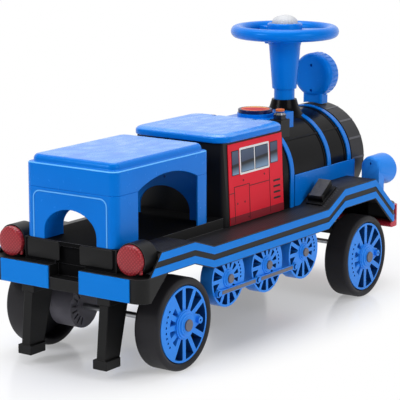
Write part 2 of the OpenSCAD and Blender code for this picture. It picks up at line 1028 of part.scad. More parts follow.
module console_base() {
    boss_r = dial_d / 2 + dial_boss_t;
    color(blue) from_axle() difference() {
        on_boiler() {
            box([console_x0, -console_w / 2, boiler_h], [console_x1, console_w / 2, console_top]);
            translate([dial_x, 0, boiler_h]) cylinder(r = boss_r, h = console_top - boiler_h + dial_boss_h);
            box([pillar_x1 - pillar_l, -pillar_y1, boiler_h], [pillar_x1, -pillar_y0, pillar_top]);
        }
        translate([dial_x, 0, console_top + dial_boss_h])
            cylinder(r = dial_d / 2 + seat_gap, h = pillar_h + bezel_h);
        translate([button_x, -button_y, pillar_top - button_h])
            cylinder(r = button_r + loose_gap, h = button_h + over);
        box(
            [block_x0 - loose_gap, -block_y1, boiler_h],
            [block_x0 + block_l + loose_gap, -block_y0 + loose_gap, pillar_top + over]
        );
    }
}

module dial_bezel() {
    z = console_top + dial_boss_h;
    color("#101c58") from_axle() translate([dial_x, 0, z]) difference() {
        cylinder(r = dial_d / 2, h = bezel_h);
        translate([0, 0, -over]) cylinder(r = dial_d / 2 - bezel_t, h = bezel_h + 2 * over);
    }
}

module dial_face() {
    color("#e2503c") from_axle() translate([dial_x, 0, console_top + dial_boss_h])
        cylinder(r = dial_d / 2 - bezel_t - seat_gap, h = bezel_h - dial_face_t);
}

module console_button() {
    color("#e8803c") from_axle() translate([button_x, -button_y, pillar_top - button_h + button_out])
        cylinder(r = button_r, h = button_h);
}

knob_x = block_x0 + block_l / 2;
knob_y = (block_y0 + block_y1) / 2;

module switch_block() {
    color(black) from_axle() difference() {
        on_boiler() box([block_x0, -block_y1, boiler_h], [block_x0 + block_l, -block_y0, block_top]);
        translate([knob_x, -knob_y, block_top - knob_stem_h])
            cylinder(r = knob_stem_r + run_gap, h = knob_stem_h + over);
    }
}

module switch_knob() {
    color("#3a3a3e") from_axle() translate([knob_x, -knob_y, block_top]) {
        translate([0, 0, seat_gap]) cylinder(r = knob_r, h = knob_h, $fn = knob_n);
        translate([0, 0, -knob_stem_h + seat_gap]) cylinder(r = knob_stem_r, h = knob_stem_h);
    }
}

module steering_shroud() {
    color(black) from_axle() on_boiler() translate([steer_x, 0, boiler_top]) rotate_extrude() polygon(concat(
        [for (i = [0 : shroud_n]) [shroud_r * shroud_shares[i], shroud_rises[i]]],
        [for (drop = [0, shroud_t]) [sleeve_r + loose_gap, shroud_rises[shroud_n] - drop]],
        [for (i = [shroud_n - 1 : -1 : 0])
            [shroud_r * shroud_shares[i] - shroud_t, shroud_rises[i] - shroud_t]]
    ));
}

// The front ramp's own directions: u up the ramp, v away from it
module on_ramp() {
    translate([ramp_x0, 0, deck_h]) rotate([0, -ramp_angle, 0]) children();
}

module pedal_base() {
    color(black) from_axle() on_ramp() mirror([0, 1, 0]) {
        box([pedal_base_u0, pedal_base_y0, 0], [pedal_base_u1, pedal_base_y1, pedal_base_t]);
        for (y = [pedal_y0 - loose_gap - pedal_ear_t, pedal_y1 + loose_gap])
            prism_y(y, y + pedal_ear_t) {
                translate([pedal_u, pedal_v]) circle(pedal_ear_r);
                square_at([pedal_u - pedal_ear_r, 0], [pedal_u + pedal_ear_r, pedal_v]);
            }
        translate([pedal_u, 0, pedal_v]) rod_y(pedal_pin_r, pedal_y0 - pedal_ear_t, pedal_y1 + pedal_ear_t);
    }
}

module foot_pedal() {
    color(black) from_axle() on_ramp() mirror([0, 1, 0]) difference() {
        prism_y(pedal_y0, pedal_y1) {
            translate([pedal_u, pedal_v]) circle(pedal_heel_r);
            polygon([
                [pedal_u, pedal_v - pedal_heel_r],
                [pedal_u + pedal_l, pedal_base_t + pedal_lift],
                [pedal_u + pedal_l, pedal_v + pedal_toe],
                [pedal_u - pedal_heel_r / 2, pedal_v + pedal_heel_r]
            ]);
        }
        translate([pedal_u, 0, pedal_v]) rod_y(pedal_pin_r + run_gap, pedal_y0 - over, pedal_y1 + over);
    }
}

// Spokes, hub, crank boss and counterweight of a wheel face, with the crank along +X
module spokes_2d(rim_r, hub, boss, width, crank) {
    circle(hub);
    translate([crank, 0]) circle(boss);
    polygon([[0, hub], [crank, boss], [crank, -boss], [0, -hub]]);
    intersection() {
        circle(rim_r + over);
        for (i = [1 : spoke_n - 1])
            rotate(360 * i / spoke_n) translate([0, -width / 2]) square([rim_r + over, width]);
    }
    intersection() {
        difference() {
            circle(rim_r + over);
            circle(rim_r * counter_share);
        }
        polygon([
            [0, 0],
            2 * rim_r * [-cos(counter_half), sin(counter_half)],
            [-2 * rim_r, 0],
            2 * rim_r * [-cos(counter_half), -sin(counter_half)]
        ]);
    }
}

// Holes along the counterweight
module dots_2d(rim_r) {
    r = rim_r * (1 + counter_share) / 2;
    for (i = [0 : dot_n - 1])
        rotate(180 + counter_half * (2 * i / (dot_n - 1) - 1) * counter_share)
            translate([r, 0]) circle(dot_r);
}

// A road wheel's disc with its axle along Y and its face towards -Y
module wheel_disc() {
    r = rim_d / 2;
    face = face_in - tyre_w / 2;
    crank = (r - rim_t) * crank_share;
    color(blue) difference() {
        union() {
            prism_y(face, face + spoke_t) {
                difference() {
                    circle(r);
                    circle(r - rim_t);
                }
                spokes_2d(r - rim_t, hub_step_r, boss_r, spoke_w, crank);
            }
            rod_y(hub_r, -hub_out, hub_in);
            rod_y(hub_step_r, -hub_out + hub_step_out, face + over);
            translate([crank, 0, 0]) rod_y(crank_pin_r, face - crank_pin_out, face + over);
        }
        rod_y(axle_d / 2 + run_gap, -hub_out - over, hub_in + over);
        prism_y(face - over, face + dot_deep) dots_2d(r - rim_t);
        translate([crank, 0, 0])
            rod_y(crank_hole_r, face - crank_pin_out - over, face);
    }
}

// A tyre moulded with the web that closes the wheel behind its spokes
module wheel_tyre() {
    r = rim_d / 2 + seat_gap;
    web = face_in - tyre_w / 2 + spoke_t + seat_gap;
    color("#2a2a2c") {
        rotate([90, 0, 0]) rotate_extrude() round_box_2d(
            [r, -tyre_w / 2],
            [tyre_r, tyre_w / 2],
            min(tyre_edge_r, (tyre_r - r) / 2 - seat_gap)
        );
        difference() {
            rod_y(r + over, web, web + web_t);
            rod_y(hub_r + seat_gap, web - over, web + web_t + over);
        }
    }
}

module wheel_cap() {
    color(grey) rod_y(cap_r, -hub_out - cap_t, -hub_out);
}

// Place of a wheel: x along the train, side -1 for the right and 1 for the left
module at_wheel(x, side) {
    from_axle() translate([x, side * wheel_y, tyre_r]) mirror([0, side > 0 ? 1 : 0, 0]) children();
}

module tyre_rear_right() { at_wheel(0, -1) wheel_tyre(); }
module disc_rear_right() { at_wheel(0, -1) wheel_disc(); }
module cap_rear_right() { at_wheel(0, -1) wheel_cap(); }
module tyre_rear_left() { at_wheel(0, 1) wheel_tyre(); }
module disc_rear_left() { at_wheel(0, 1) wheel_disc(); }
module cap_rear_left() { at_wheel(0, 1) wheel_cap(); }
module tyre_front_right() { at_wheel(wheelbase, -1) wheel_tyre(); }
module disc_front_right() { at_wheel(wheelbase, -1) wheel_disc(); }
module cap_front_right() { at_wheel(wheelbase, -1) wheel_cap(); }
module tyre_front_left() { at_wheel(wheelbase, 1) wheel_tyre(); }
module disc_front_left() { at_wheel(wheelbase, 1) wheel_disc(); }
module cap_front_left() { at_wheel(wheelbase, 1) wheel_cap(); }

// Places of the dummy wheels on one side, faces towards -Y
module at_dummies() {
    from_axle() both_sides() for (i = [0 : dummy_n - 1])
        translate([dummy_x0 + i * dummy_pitch, -dummy_y, dummy_h]) children();
}

dummy_crank = (dummy_r - dummy_rim_t) * dummy_crank_share;
dummy_pin = dummy_crank * [cos(dummy_crank_angle), sin(dummy_crank_angle)];

module dummy_wheels() {
    face = -dummy_w / 2;
    color(blue) at_dummies() difference() {
        union() {
            difference() {
                rod_y(dummy_r, face, -face);
                rod_y(dummy_r - dummy_rim_t, face - over, -face + over);
            }
            prism_y(face, face + spoke_t) rotate(dummy_crank_angle)
                spokes_2d(dummy_r - dummy_rim_t, dummy_step_r, dummy_boss_r, dummy_spoke_w, dummy_crank);
            rod_y(dummy_r - dummy_rim_t + over, -face - web_t, -face);
            rod_y(dummy_hub_r, face - dummy_hub_out, -face);
            translate([dummy_pin.x, 0, dummy_pin.y]) rod_y(dummy_pin_r, face - rod_pin_out, face + over);
        }
        prism_y(face - over, face + dot_deep) rotate(dummy_crank_angle) dots_2d(dummy_r - dummy_rim_t);
    }
}

module dummy_caps() {
    out = -dummy_w / 2 - dummy_hub_out;
    color(grey) at_dummies() rod_y(cap_r * dummy_hub_r / hub_r, out - cap_t, out);
}

module coupling_rods() {
    y1 = -dummy_y - dummy_w / 2 - seat_gap;
    color(grey) from_axle() both_sides() translate([dummy_x0 + dummy_pin.x, 0, dummy_h + dummy_pin.y])
        prism_y(y1 - rod_t, y1) difference() {
            union() {
                square_at([0, -rod_w / 2], [(dummy_n - 1) * dummy_pitch, rod_w / 2]);
                for (i = [0 : dummy_n - 1])
                    translate([i * dummy_pitch, 0]) circle(rod_eye_r);
            }
            for (i = [0 : dummy_n - 1])
                translate([i * dummy_pitch, 0]) circle(dummy_pin_r + seat_gap);
        }
}

module side_frames() {
    y1 = -dummy_y + dummy_w / 2;
    color(black) from_axle() both_sides() box(
        [dummy_x0 - dummy_r / 2, y1, deck_h - deck_t - frame_h],
        [dummy_x0 + (dummy_n - 1) * dummy_pitch + dummy_r / 2, y1 + frame_t, deck_h - deck_t]
    );
}

module rear_axle() {
    end = wheel_y + hub_out - seat_gap;
    color(steel) from_axle() translate([0, 0, tyre_r]) rod_y(axle_d / 2, -end, end);
}

module axle_brackets() {
    top = rear_deck_h - deck_t;
    color("#5a5a60") from_axle() both_sides() prism_y(bracket_y, bracket_y + bracket_t) difference() {
        union() {
            translate([0, tyre_r]) circle(bracket_r);
            polygon([
                [-bracket_r, tyre_r], [bracket_r, tyre_r],
                [rear_flat - over, top], [rear_flat - over - bracket_top_l, top]
            ]);
        }
        translate([0, tyre_r]) circle(axle_d / 2 + run_gap);
    }
}

module gearbox_housing() {
    color("#5a5a60") from_axle() translate([0, 0, tyre_r]) difference() {
        prism_y(gear_y0, bracket_y) {
            circle(gear_r);
            translate([gear_arm_x, gear_arm_z]) circle(gear_arm_r);
            rotate(atan2(gear_arm_z, gear_arm_x)) translate([0, -gear_neck_w / 2])
                square([norm([gear_arm_x, gear_arm_z]), gear_neck_w]);
        }
        rod_y(axle_d / 2 + gear_gap, gear_y0 - over, bracket_y + over);
        for (i = [0 : gear_slot_n - 1])
            rotate([0, 180 + gear_slot_pitch * (i - (gear_slot_n - 1) / 2), 0]) box(
                [gear_slot_r, gear_y0 - over, -gear_slot_w / 2],
                [gear_slot_r + gear_slot_l, gear_y0 + gear_slot_deep, gear_slot_w / 2]
            );
    }
}

module motor() {
    color(steel) from_axle() translate([gear_arm_x, 0, tyre_r + gear_arm_z]) {
        rod_y(motor_r, gear_y0 - motor_l, gear_y0);
        rod_y(motor_nose_r, gear_y0 - motor_l - motor_nose_l, gear_y0 - motor_l);
    }
}

module battery() {
    x0 = cab_end + battery_gap;
    color("#303034") from_axle()
        box([x0, -battery_w / 2, deck_h], [x0 + battery_l, battery_w / 2, deck_h + battery_h]);
}

module front_beam() {
    color(black) from_axle() translate([wheelbase, 0, 0]) difference() {
        union() {
            box([-beam_l / 2, -king_y, beam_z0], [beam_l / 2, king_y, beam_z1]);
            both_sides() {
                translate([0, king_y, 0]) cylinder_z(boss_king_r, arm_top, beam_z1);
                box(
                    [-beam_l / 2, beam_post_y - beam_post_w / 2, beam_z1],
                    [beam_l / 2, beam_post_y + beam_post_w / 2, front_deck_h - deck_t]
                );
            }
        }
        both_sides() translate([0, king_y, 0])
            cylinder_z(king_d / 2 + run_gap, arm_top - over, beam_z1 + over);
    }
}

// The right knuckle: kingpin, stub axle, and steering arm with its pin
module knuckle() {
    end = wheel_y + hub_out - seat_gap;
    color(steel) translate([wheelbase, 0, 0]) {
        translate([0, -king_y, 0]) {
            cylinder_z(knuckle_r, tyre_r - knuckle_drop, arm_top);
            cylinder_z(king_d / 2, tyre_r, beam_z1 + king_head_t);
            cylinder_z(king_head_r, beam_z1 + seat_gap, beam_z1 + king_head_t);
            box([-arm_r, -arm_w / 2, arm_z], [0, arm_w / 2, arm_top]);
            translate([-arm_r, 0, 0]) {
                cylinder_z(arm_w / 2, arm_z, arm_top);
                cylinder_z(link_pin_r, arm_z, arm_top + link_pin_h);
            }
        }
        translate([0, 0, tyre_r]) rod_y(axle_d / 2, -end, -king_y);
    }
}

module cylinder_z(r, z0, z1) {
    translate([0, 0, z0]) cylinder(r = r, h = z1 - z0);
}

module knuckle_right() { from_axle() knuckle(); }
module knuckle_left() { from_axle() mirror([0, 1, 0]) knuckle(); }

// A hole for a link pin, long enough in X for the pin's arc
module link_slot_2d() {
    r = link_pin_r + slot_y;
    for (x = [-slot_x, slot_x])
        translate([x, 0]) circle(r);
    square_at([-slot_x, -r], [slot_x, r]);
}

module tie_rod() {
    x1 = wheelbase - arm_r;
    x0 = steer_x - arm_r;
    color(steel) from_axle() prism_z(rod_z, rod_z + rod_plate_t) difference() {
        union() {
            square_at([x1 - rod_plate_w / 2, -king_y], [x1 + rod_plate_w / 2, king_y]);
            square_at([x0, -rod_plate_w / 2], [x1, rod_plate_w / 2]);
            translate([x0, 0]) circle(rod_plate_w / 2);
            for (s = [-1, 1])
                translate([x1, s * king_y]) circle(rod_plate_w / 2);
        }
        translate([x0, 0]) link_slot_2d();
        for (s = [-1, 1])
            translate([x1, s * king_y]) link_slot_2d();
    }
}

module steering_shaft() {
    z0 = rod_z + rod_plate_t + crank_gap;
    color(steel) from_axle() translate([steer_x, 0, 0]) {
        cylinder_z(shaft_d / 2, z0, column_top);
        cylinder_z(crank_r, z0, z0 + crank_t);
        box([-arm_r, -crank_r, z0], [0, crank_r, z0 + crank_t]);
        translate([-arm_r, 0, 0]) {
            cylinder_z(crank_r, z0, z0 + crank_t);
            cylinder_z(link_pin_r, rod_z - crank_gap, z0);
        }
    }
}

module steering_column() {
    z1 = column_top - flange_t;
    z0 = shroud_top + sleeve_show;
    color(blue) from_axle() translate([steer_x, 0, 0]) difference() {
        union() {
            cylinder_z(sleeve_r, shroud_top - sleeve_in, z0 + over);
            translate([0, 0, z0]) cylinder(r1 = column_r0, r2 = column_r1, h = z1 - z0);
            cylinder_z(flange_r, z1, column_top);
            box([-flange_tab_w / 2, 0, z1], [flange_tab_w / 2, flange_r + flange_tab, column_top]);
        }
        cylinder_z(shaft_d / 2 + run_gap, shroud_top - sleeve_in - over, column_top + over);
    }
}

hub_top = column_top + hub_wheel_h;
horn_floor = hub_top - horn_seat - horn_travel - horn_gap;

module steering_wheel() {
    ring_r = (steer_d - ring_d) / 2;
    color(blue) from_axle() translate([steer_x, 0, 0]) difference() {
        union() {
            cylinder_z(hub_wheel_r, column_top, hub_top);
            translate([0, 0, steer_h]) rotate_extrude() translate([ring_r, 0]) circle(ring_d / 2);
            for (i = [0 : spoke_wheel_n - 1])
                rotate(180 + 360 * i / spoke_wheel_n) box(
                    [0, -spoke_wheel_w / 2, steer_h - spoke_wheel_t / 2],
                    [ring_r, spoke_wheel_w / 2, steer_h + spoke_wheel_t / 2]
                );
        }
        cylinder_z(horn_r + horn_gap, horn_floor, hub_top + over);
    }
}

module horn_button() {
    ball_r = (horn_r * horn_r + horn_dome * horn_dome) / (2 * horn_dome);
    z1 = hub_top + horn_side;
    color("#f0f0ee") from_axle() translate([steer_x, 0, 0]) {
        cylinder_z(horn_r, hub_top - horn_seat, z1);
        intersection() {
            translate([0, 0, z1 + horn_dome - ball_r]) sphere(ball_r);
            cylinder_z(horn_r, z1, z1 + 2 * horn_dome);
        }
    }
}

// The stool's wall seen from above
module stool_ring_2d() {
    x0 = -stool_back;
    w = stool_w / 2;
    difference() {
        round_box_2d([x0, -w], [stool_x1, w], stool_corner_r);
        round_box_2d(
            [x0 + stool_t, stool_t - w],
            [stool_x1 - stool_t, w - stool_t],
            stool_corner_r - stool_t
        );
    }
}

// An arch as wide as w and as high as h, standing on y = 0, with a half ellipse for its crown
module arch_2d(w, h, crown) {
    r = w / 2;
    polygon(concat(
        [[r, -over], [-r, -over]],
        [for (i = [0 : arch_steps]) [
            -r * cos(180 * i / arch_steps),
            h - crown + crown * sin(180 * i / arch_steps)
        ]]
    ));
}

// The wall of the stool between x0 and x1, with the arch through its end
module stool_panel(x0, x1) {
    difference() {
        intersection() {
            prism_z(rear_deck_h, stool_seam) stool_ring_2d();
            box([x0, -stool_w, 0], [x1, stool_w, stool_seam + over]);
        }
        translate([0, 0, rear_deck_h]) prism_x(x0 - over, x1 + over)
            arch_2d(stool_arch_w, stool_arch_h, stool_arch_crown);
    }
}

module stool_rear_panel() {
    color(blue) from_axle() stool_panel(-stool_back, stool_rear_leg - stool_back);
}

module stool_front_panel() {
    color(blue) from_axle() difference() {
        stool_panel(stool_x1 - stool_front_leg, stool_x1);
        translate([0, 0, rear_deck_h + stool_hole_z])
            rod_x(stool_hole_r, stool_x1 - stool_t - over, stool_x1 + over);
    }
}

module stool_lid() {
    x0 = -stool_back;
    w = stool_w / 2;
    gap_x0 = x0 + stool_rear_leg;
    gap_x1 = stool_x1 - stool_front_leg;
    half = (gap_x1 - gap_x0) / 2;
    arch_r = (half * half + stool_side_rise * stool_side_rise) / (2 * stool_side_rise);
    color(blue) from_axle() difference() {
        union() {
            prism_z(stool_seam, stool_rim) stool_ring_2d();
            prism_z(stool_rim - stool_t, stool_rim) round_box_2d([x0, -w], [stool_x1, w], stool_corner_r);
            prism_z(stool_rim, stool_rim + pad_h) round_box_2d(
                [x0 + pad_inset, pad_inset - w], [stool_x1 - pad_inset, w - pad_inset], pad_corner_r
            );
        }
        prism_z(stool_rim - stool_t - over, stool_rim + pad_h - stool_t) round_box_2d(
            [x0 + pad_inset + stool_t, pad_inset + stool_t - w],
            [stool_x1 - pad_inset - stool_t, w - pad_inset - stool_t],
            pad_corner_r - stool_t
        );
        prism_y(-stool_w, stool_w) intersection() {
            translate([gap_x0 + half, stool_seam + stool_side_rise - arch_r]) circle(arch_r);
            square_at([gap_x0, stool_seam - over], [gap_x1, stool_rim]);
        }
    }
}

chassis_shell();
side_stripes();
rear_bumper();
bumper_plates();
front_bumper();
tail_lamp_lenses();
anti_tip_legs();
headlamp_housings();
headlamp_lenses();
cab_shell();
cab_panels();
seat_hinge_pin();
boiler_shell();
boiler_bands();
smokebox();
boiler_valances();
top_lamp();
top_lamp_lens();
console_base();
dial_bezel();
dial_face();
switch_block();
steering_shroud();
pedal_base();
side_frames();
dummy_wheels();
dummy_caps();
coupling_rods();
rear_axle();
axle_brackets();
front_beam();
gearbox_housing();
motor();
battery();
seat_lid();
stool_lid();
stool_rear_panel();
stool_front_panel();
console_button();
switch_knob();
foot_pedal();
steering_column();
steering_wheel();
steering_shaft();
horn_button();
knuckle_right();
knuckle_left();
tie_rod();
tyre_rear_right();
disc_rear_right();
cap_rear_right();
tyre_rear_left();
disc_rear_left();
cap_rear_left();
tyre_front_right();
disc_front_right();
cap_front_right();
tyre_front_left();
disc_front_left();
cap_front_left();
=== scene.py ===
import json
from math import cos, pi, radians, sin

import bmesh
import bpy
from mathutils import Matrix, Vector


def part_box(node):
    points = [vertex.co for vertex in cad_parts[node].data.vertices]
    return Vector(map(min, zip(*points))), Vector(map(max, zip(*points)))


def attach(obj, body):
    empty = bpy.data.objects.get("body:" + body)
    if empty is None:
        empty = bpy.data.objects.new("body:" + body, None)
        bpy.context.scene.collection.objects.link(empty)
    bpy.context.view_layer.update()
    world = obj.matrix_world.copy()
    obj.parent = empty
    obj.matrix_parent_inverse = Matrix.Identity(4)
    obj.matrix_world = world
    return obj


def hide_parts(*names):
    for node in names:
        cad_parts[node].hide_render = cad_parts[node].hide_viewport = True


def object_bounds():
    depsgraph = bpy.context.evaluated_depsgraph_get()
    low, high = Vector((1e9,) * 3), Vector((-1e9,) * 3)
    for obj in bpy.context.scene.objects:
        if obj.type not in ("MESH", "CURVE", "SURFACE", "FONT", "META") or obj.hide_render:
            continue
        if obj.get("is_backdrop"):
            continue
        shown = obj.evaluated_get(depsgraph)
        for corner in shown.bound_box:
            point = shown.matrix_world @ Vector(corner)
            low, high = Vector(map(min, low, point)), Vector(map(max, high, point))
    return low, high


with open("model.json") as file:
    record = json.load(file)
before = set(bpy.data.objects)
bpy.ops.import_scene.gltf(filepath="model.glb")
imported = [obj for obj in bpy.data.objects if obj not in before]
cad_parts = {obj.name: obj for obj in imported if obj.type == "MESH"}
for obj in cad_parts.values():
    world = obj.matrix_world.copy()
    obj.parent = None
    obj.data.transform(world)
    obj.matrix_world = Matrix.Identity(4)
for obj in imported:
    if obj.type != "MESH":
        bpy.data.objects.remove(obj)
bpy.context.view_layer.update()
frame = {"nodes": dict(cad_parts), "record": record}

MM = 0.001
BODIES = {node: body for body, nodes in frame["record"]["behaviour"]["bodies"].items() for node in nodes}
CORNERS = ("rear_right", "rear_left", "front_right", "front_left")
SIDES = (-1, 1)


def middle(node):
    """The centre of a CAD node's box."""
    low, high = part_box(node)
    return (low + high) / 2


AXLE = middle("rear_axle").x


def spot(x, z):
    """A point in the train's middle plane from millimetres, with x counted from the rear axle."""
    return Vector((AXLE + x * MM, 0.0, z * MM))


# Materials

def linear(code):
    """Linear RGBA of an sRGB hex colour."""
    parts = [int(code[i : i + 2], 16) / 255 for i in (1, 3, 5)]
    return [c / 12.92 if c <= 0.04045 else ((c + 0.055) / 1.055) ** 2.4 for c in parts] + [1.0]


def feed(tree, node, inputs):
    """Sets a shader node's inputs: constants, sockets, or nodes whose first output is used."""
    for name, value in inputs.items():
        if isinstance(value, bpy.types.Node):
            value = value.outputs[0]
        if isinstance(value, bpy.types.NodeSocket):
            tree.links.new(value, node.inputs[name])
        else:
            node.inputs[name].default_value = value


def add(tree, kind, inputs=None, **settings):
    """Adds a shader node with its settings and links."""
    node = tree.nodes.new("ShaderNode" + kind)
    for name, value in settings.items():
        setattr(node, name, value)
    feed(tree, node, inputs or {})
    return node


def begun(name):
    """A new material, its tree, its shader and its Object coordinates."""
    look = bpy.data.materials.new(name)
    look.use_nodes = True
    tree = look.node_tree
    return look, tree, tree.nodes["Principled BSDF"], add(tree, "TexCoord").outputs["Object"]


# The tone of a moulding drifts over this length, and its roughness varies by this much either way.
DRIFT_MM = 90
ROUGH_SPREAD = 0.06


def plastic(name, dark, light, rough, grain_mm, depth_mm, shine=0.25, gleam="#FFFFFF"):
    """Moulded plastic: a slow drift of tone, a surface grain, and gloss that varies with the grain."""
    look, tree, shader, coords = begun(name)
    drift = add(tree, "TexNoise", {"Vector": coords, "Scale": 1000 / DRIFT_MM})
    grain = add(tree, "TexNoise", {"Vector": coords, "Scale": 1000 / grain_mm})
    spread = {"To Min": rough - ROUGH_SPREAD, "To Max": rough + ROUGH_SPREAD}
    feed(tree, shader, {
        "Base Color": add(tree, "MixRGB", {"Fac": drift, "Color1": linear(dark), "Color2": linear(light)}),
        "Roughness": add(tree, "MapRange", {"Value": grain, **spread}),
        "Normal": add(tree, "Bump", {"Height": grain, "Distance": depth_mm * MM, "Strength": 0.5}),
        "Specular IOR Level": shine,
        "Specular Tint": linear(gleam),
    })
    return look


# The grain of real gloss mouldings is well under a pixel, so it is coarsened to a few millimetres.
gloss_blue = plastic("Blue ABS, gloss moulded", "#006ED2", "#0678DC", 0.25, 9, 0.012, 0.4, "#60B8FF")
wheel_blue = plastic("Blue PP, satin moulded", "#2684EC", "#3290F4", 0.32, 7, 0.02, 0.4, "#80C4FF")
# The headlamp blue is lighter than the body's: partly the housings' own colour, partly painted light.
lamp_blue_and_painted_light = plastic("Blue ABS, satin moulded, partly painted light", "#2484EA", "#308EF0", 0.32, 8, 0.015, 0.4, "#A0D0FF")
# Rounded rims are too thin to show their own highlight in the picture, so it is in their colour.
blue_painted_highlight = plastic("Blue ABS, rim with painted highlight", "#5CB0F4", "#68B8F8", 0.25, 9, 0.01, 0.4, "#C0E0FF")
stripe_film = plastic("Blue film, printed", "#0A78D8", "#1482E0", 0.38, 10, 0.01, 0.18, "#60B8FF")
spoke_shade = plastic("Blue PP, unlit flanks of the spokes", "#0E3E7E", "#124688", 0.5, 7, 0.02, 0.1)
satin_black = plastic("Black PP, satin moulded", "#121213", "#191919", 0.4, 4, 0.08, 0.2)
# Rounded black edges are also too thin to show their own highlight, so a painted highlight is in their
# colour.
black_painted_highlight = plastic("Black PP, rounded edge, painted highlight", "#3E3E42", "#4A4A4E", 0.3, 6, 0.02, 0.4)
gloss_black = plastic("Black ABS, semi-gloss moulded", "#08080A", "#0E0E10", 0.24, 8, 0.02, 0.07)
shade_black = plastic("Black PP, matt, painted shade", "#0E0E0F", "#141415", 0.7, 5, 0.1, 0.02)
smoke_grey = plastic("Charcoal PP, satin moulded", "#242427", "#2C2C30", 0.38, 6, 0.06, 0.2)
rib_highlight_grey = plastic("Charcoal PP, ribs with painted highlight", "#4A4A50", "#56565C", 0.36, 6, 0.04, 0.3)
pedal_grain = plastic("Black PP, leather grain", "#303034", "#4C4C52", 0.4, 4.5, 2.0, 0.6)
blown_tyre = plastic("Black blown PE tyre, matt", "#222124", "#2A292C", 0.5, 5, 0.12, 0.2)
grey_pp = plastic("Grey PP, satin moulded", "#66646C", "#74727A", 0.42, 6, 0.08)
dark_grey_pp = plastic("Dark grey PP, satin moulded", "#4C4B54", "#5A5962", 0.45, 6, 0.1)
red_bumper = plastic("Red ABS, gloss moulded", "#B82438", "#CC3044", 0.27, 9, 0.02, 0.35, "#FFB0B0")
navy = plastic("Navy ABS, gloss moulded", "#08103E", "#0E1A50", 0.24, 8, 0.04)
orange = plastic("Orange PP, gloss moulded", "#E0702C", "#EC8440", 0.32, 8, 0.05)
white_dome = plastic("White ABS, gloss moulded", "#C8CACE", "#D0D2D6", 0.4, 8, 0.02, 0.15)
knob_black = plastic("Black ABS knob, gloss moulded", "#101013", "#1A1A1E", 0.2, 7, 0.05, 0.5)
battery_case = plastic("Battery case PP, moulded", "#28282C", "#323238", 0.45, 5, 0.1)
red_film = plastic("Red printed film, gloss", "#DC1A30", "#E82438", 0.34, 12, 0.01, 0.2, "#FFA0A0")
dark_red_ink = plastic("Dark red ink on film", "#7A1020", "#8A1626", 0.38, 10, 0.03)
line_ink = plastic("Dark line ink on film", "#3C0A14", "#48101C", 0.42, 8, 0.03)
white_ink = plastic("White ink on film", "#E2E0E0", "#ECEAEA", 0.38, 8, 0.03)
black_ink = plastic("Black ink on film", "#121216", "#1A1A1E", 0.38, 8, 0.03)


def metal(name, colour, rough):
    """Bright metal with faint drawn lines along the train's width."""
    look, tree, shader, coords = begun(name)
    along = add(tree, "Mapping", {"Vector": coords, "Scale": (1.0, 0.05, 1.0)})
    # Drawing lines are finer than a pixel, so they are coarsened to 2.5 mm.
    drawn = add(tree, "TexNoise", {"Vector": along, "Scale": 1000 / 2.5, "Detail": 3.0})
    feed(tree, shader, {
        "Base Color": linear(colour),
        "Metallic": 1.0,
        "Roughness": add(tree, "MapRange", {"Value": drawn, "To Min": rough, "To Max": rough + 0.2}),
        "Normal": add(tree, "Bump", {"Height": drawn, "Distance": 0.02 * MM, "Strength": 0.4}),
    })
    return look


steel = metal("Steel, drawn bright", "#B8BABD", 0.25)
chromed = metal("Vacuum-metallised ABS", "#9A9CA2", 0.2)

# Wave textures repeat after a tenth of pi at scale 1.
WAVE = pi / 10


def pressed_leaf_and_highlight():
    """Blue seat tops: overlapping leaf shapes pressed into the moulding, and a painted highlight: the leaves
    are painted in paler blues than the sides, in patches.
    """
    look, tree, shader, coords = begun("Blue ABS, pressed leaf grain, painted highlight")
    swirl = add(tree, "TexNoise", {"Vector": coords, "Scale": 1000 / 45, "Detail": 1.0})
    reach = (30 * MM, 30 * MM, 0.0)
    shift = add(tree, "VectorMath", {0: swirl.outputs["Color"], 1: reach}, operation="MULTIPLY")
    bent = add(tree, "VectorMath", {0: coords, 1: shift}, operation="ADD")
    slant = {"Rotation": (0.0, 0.0, radians(25)), "Scale": (1.0, 1.8, 1.0)}
    leaf = {"Vector": add(tree, "Mapping", {"Vector": bent, **slant}), "Scale": 1000 / 34, "Smoothness": 0.5}
    height = add(tree, "TexVoronoi", leaf, feature="SMOOTH_F1").outputs["Distance"]
    # Both blues are paler than the blue of the sides: painted highlight from the light above.
    tones = {"Color1": linear("#3E96EE"), "Color2": linear("#1076DC")}
    polish = {"From Max": 0.6, "To Min": 0.18, "To Max": 0.3}
    feed(tree, shader, {
        "Base Color": add(tree, "MixRGB", {"Fac": height, **tones}),
        "Roughness": add(tree, "MapRange", {"Value": height, **polish}),
        "Normal": add(tree, "Bump", {"Height": height, "Distance": 1.6 * MM, "Strength": 0.4}),
        "Specular IOR Level": 1.0,
    })
    return look


# The tread lies between these distances from the train's middle plane.
TREAD_INNER = 112 * MM
TREAD_OUTER = 150 * MM


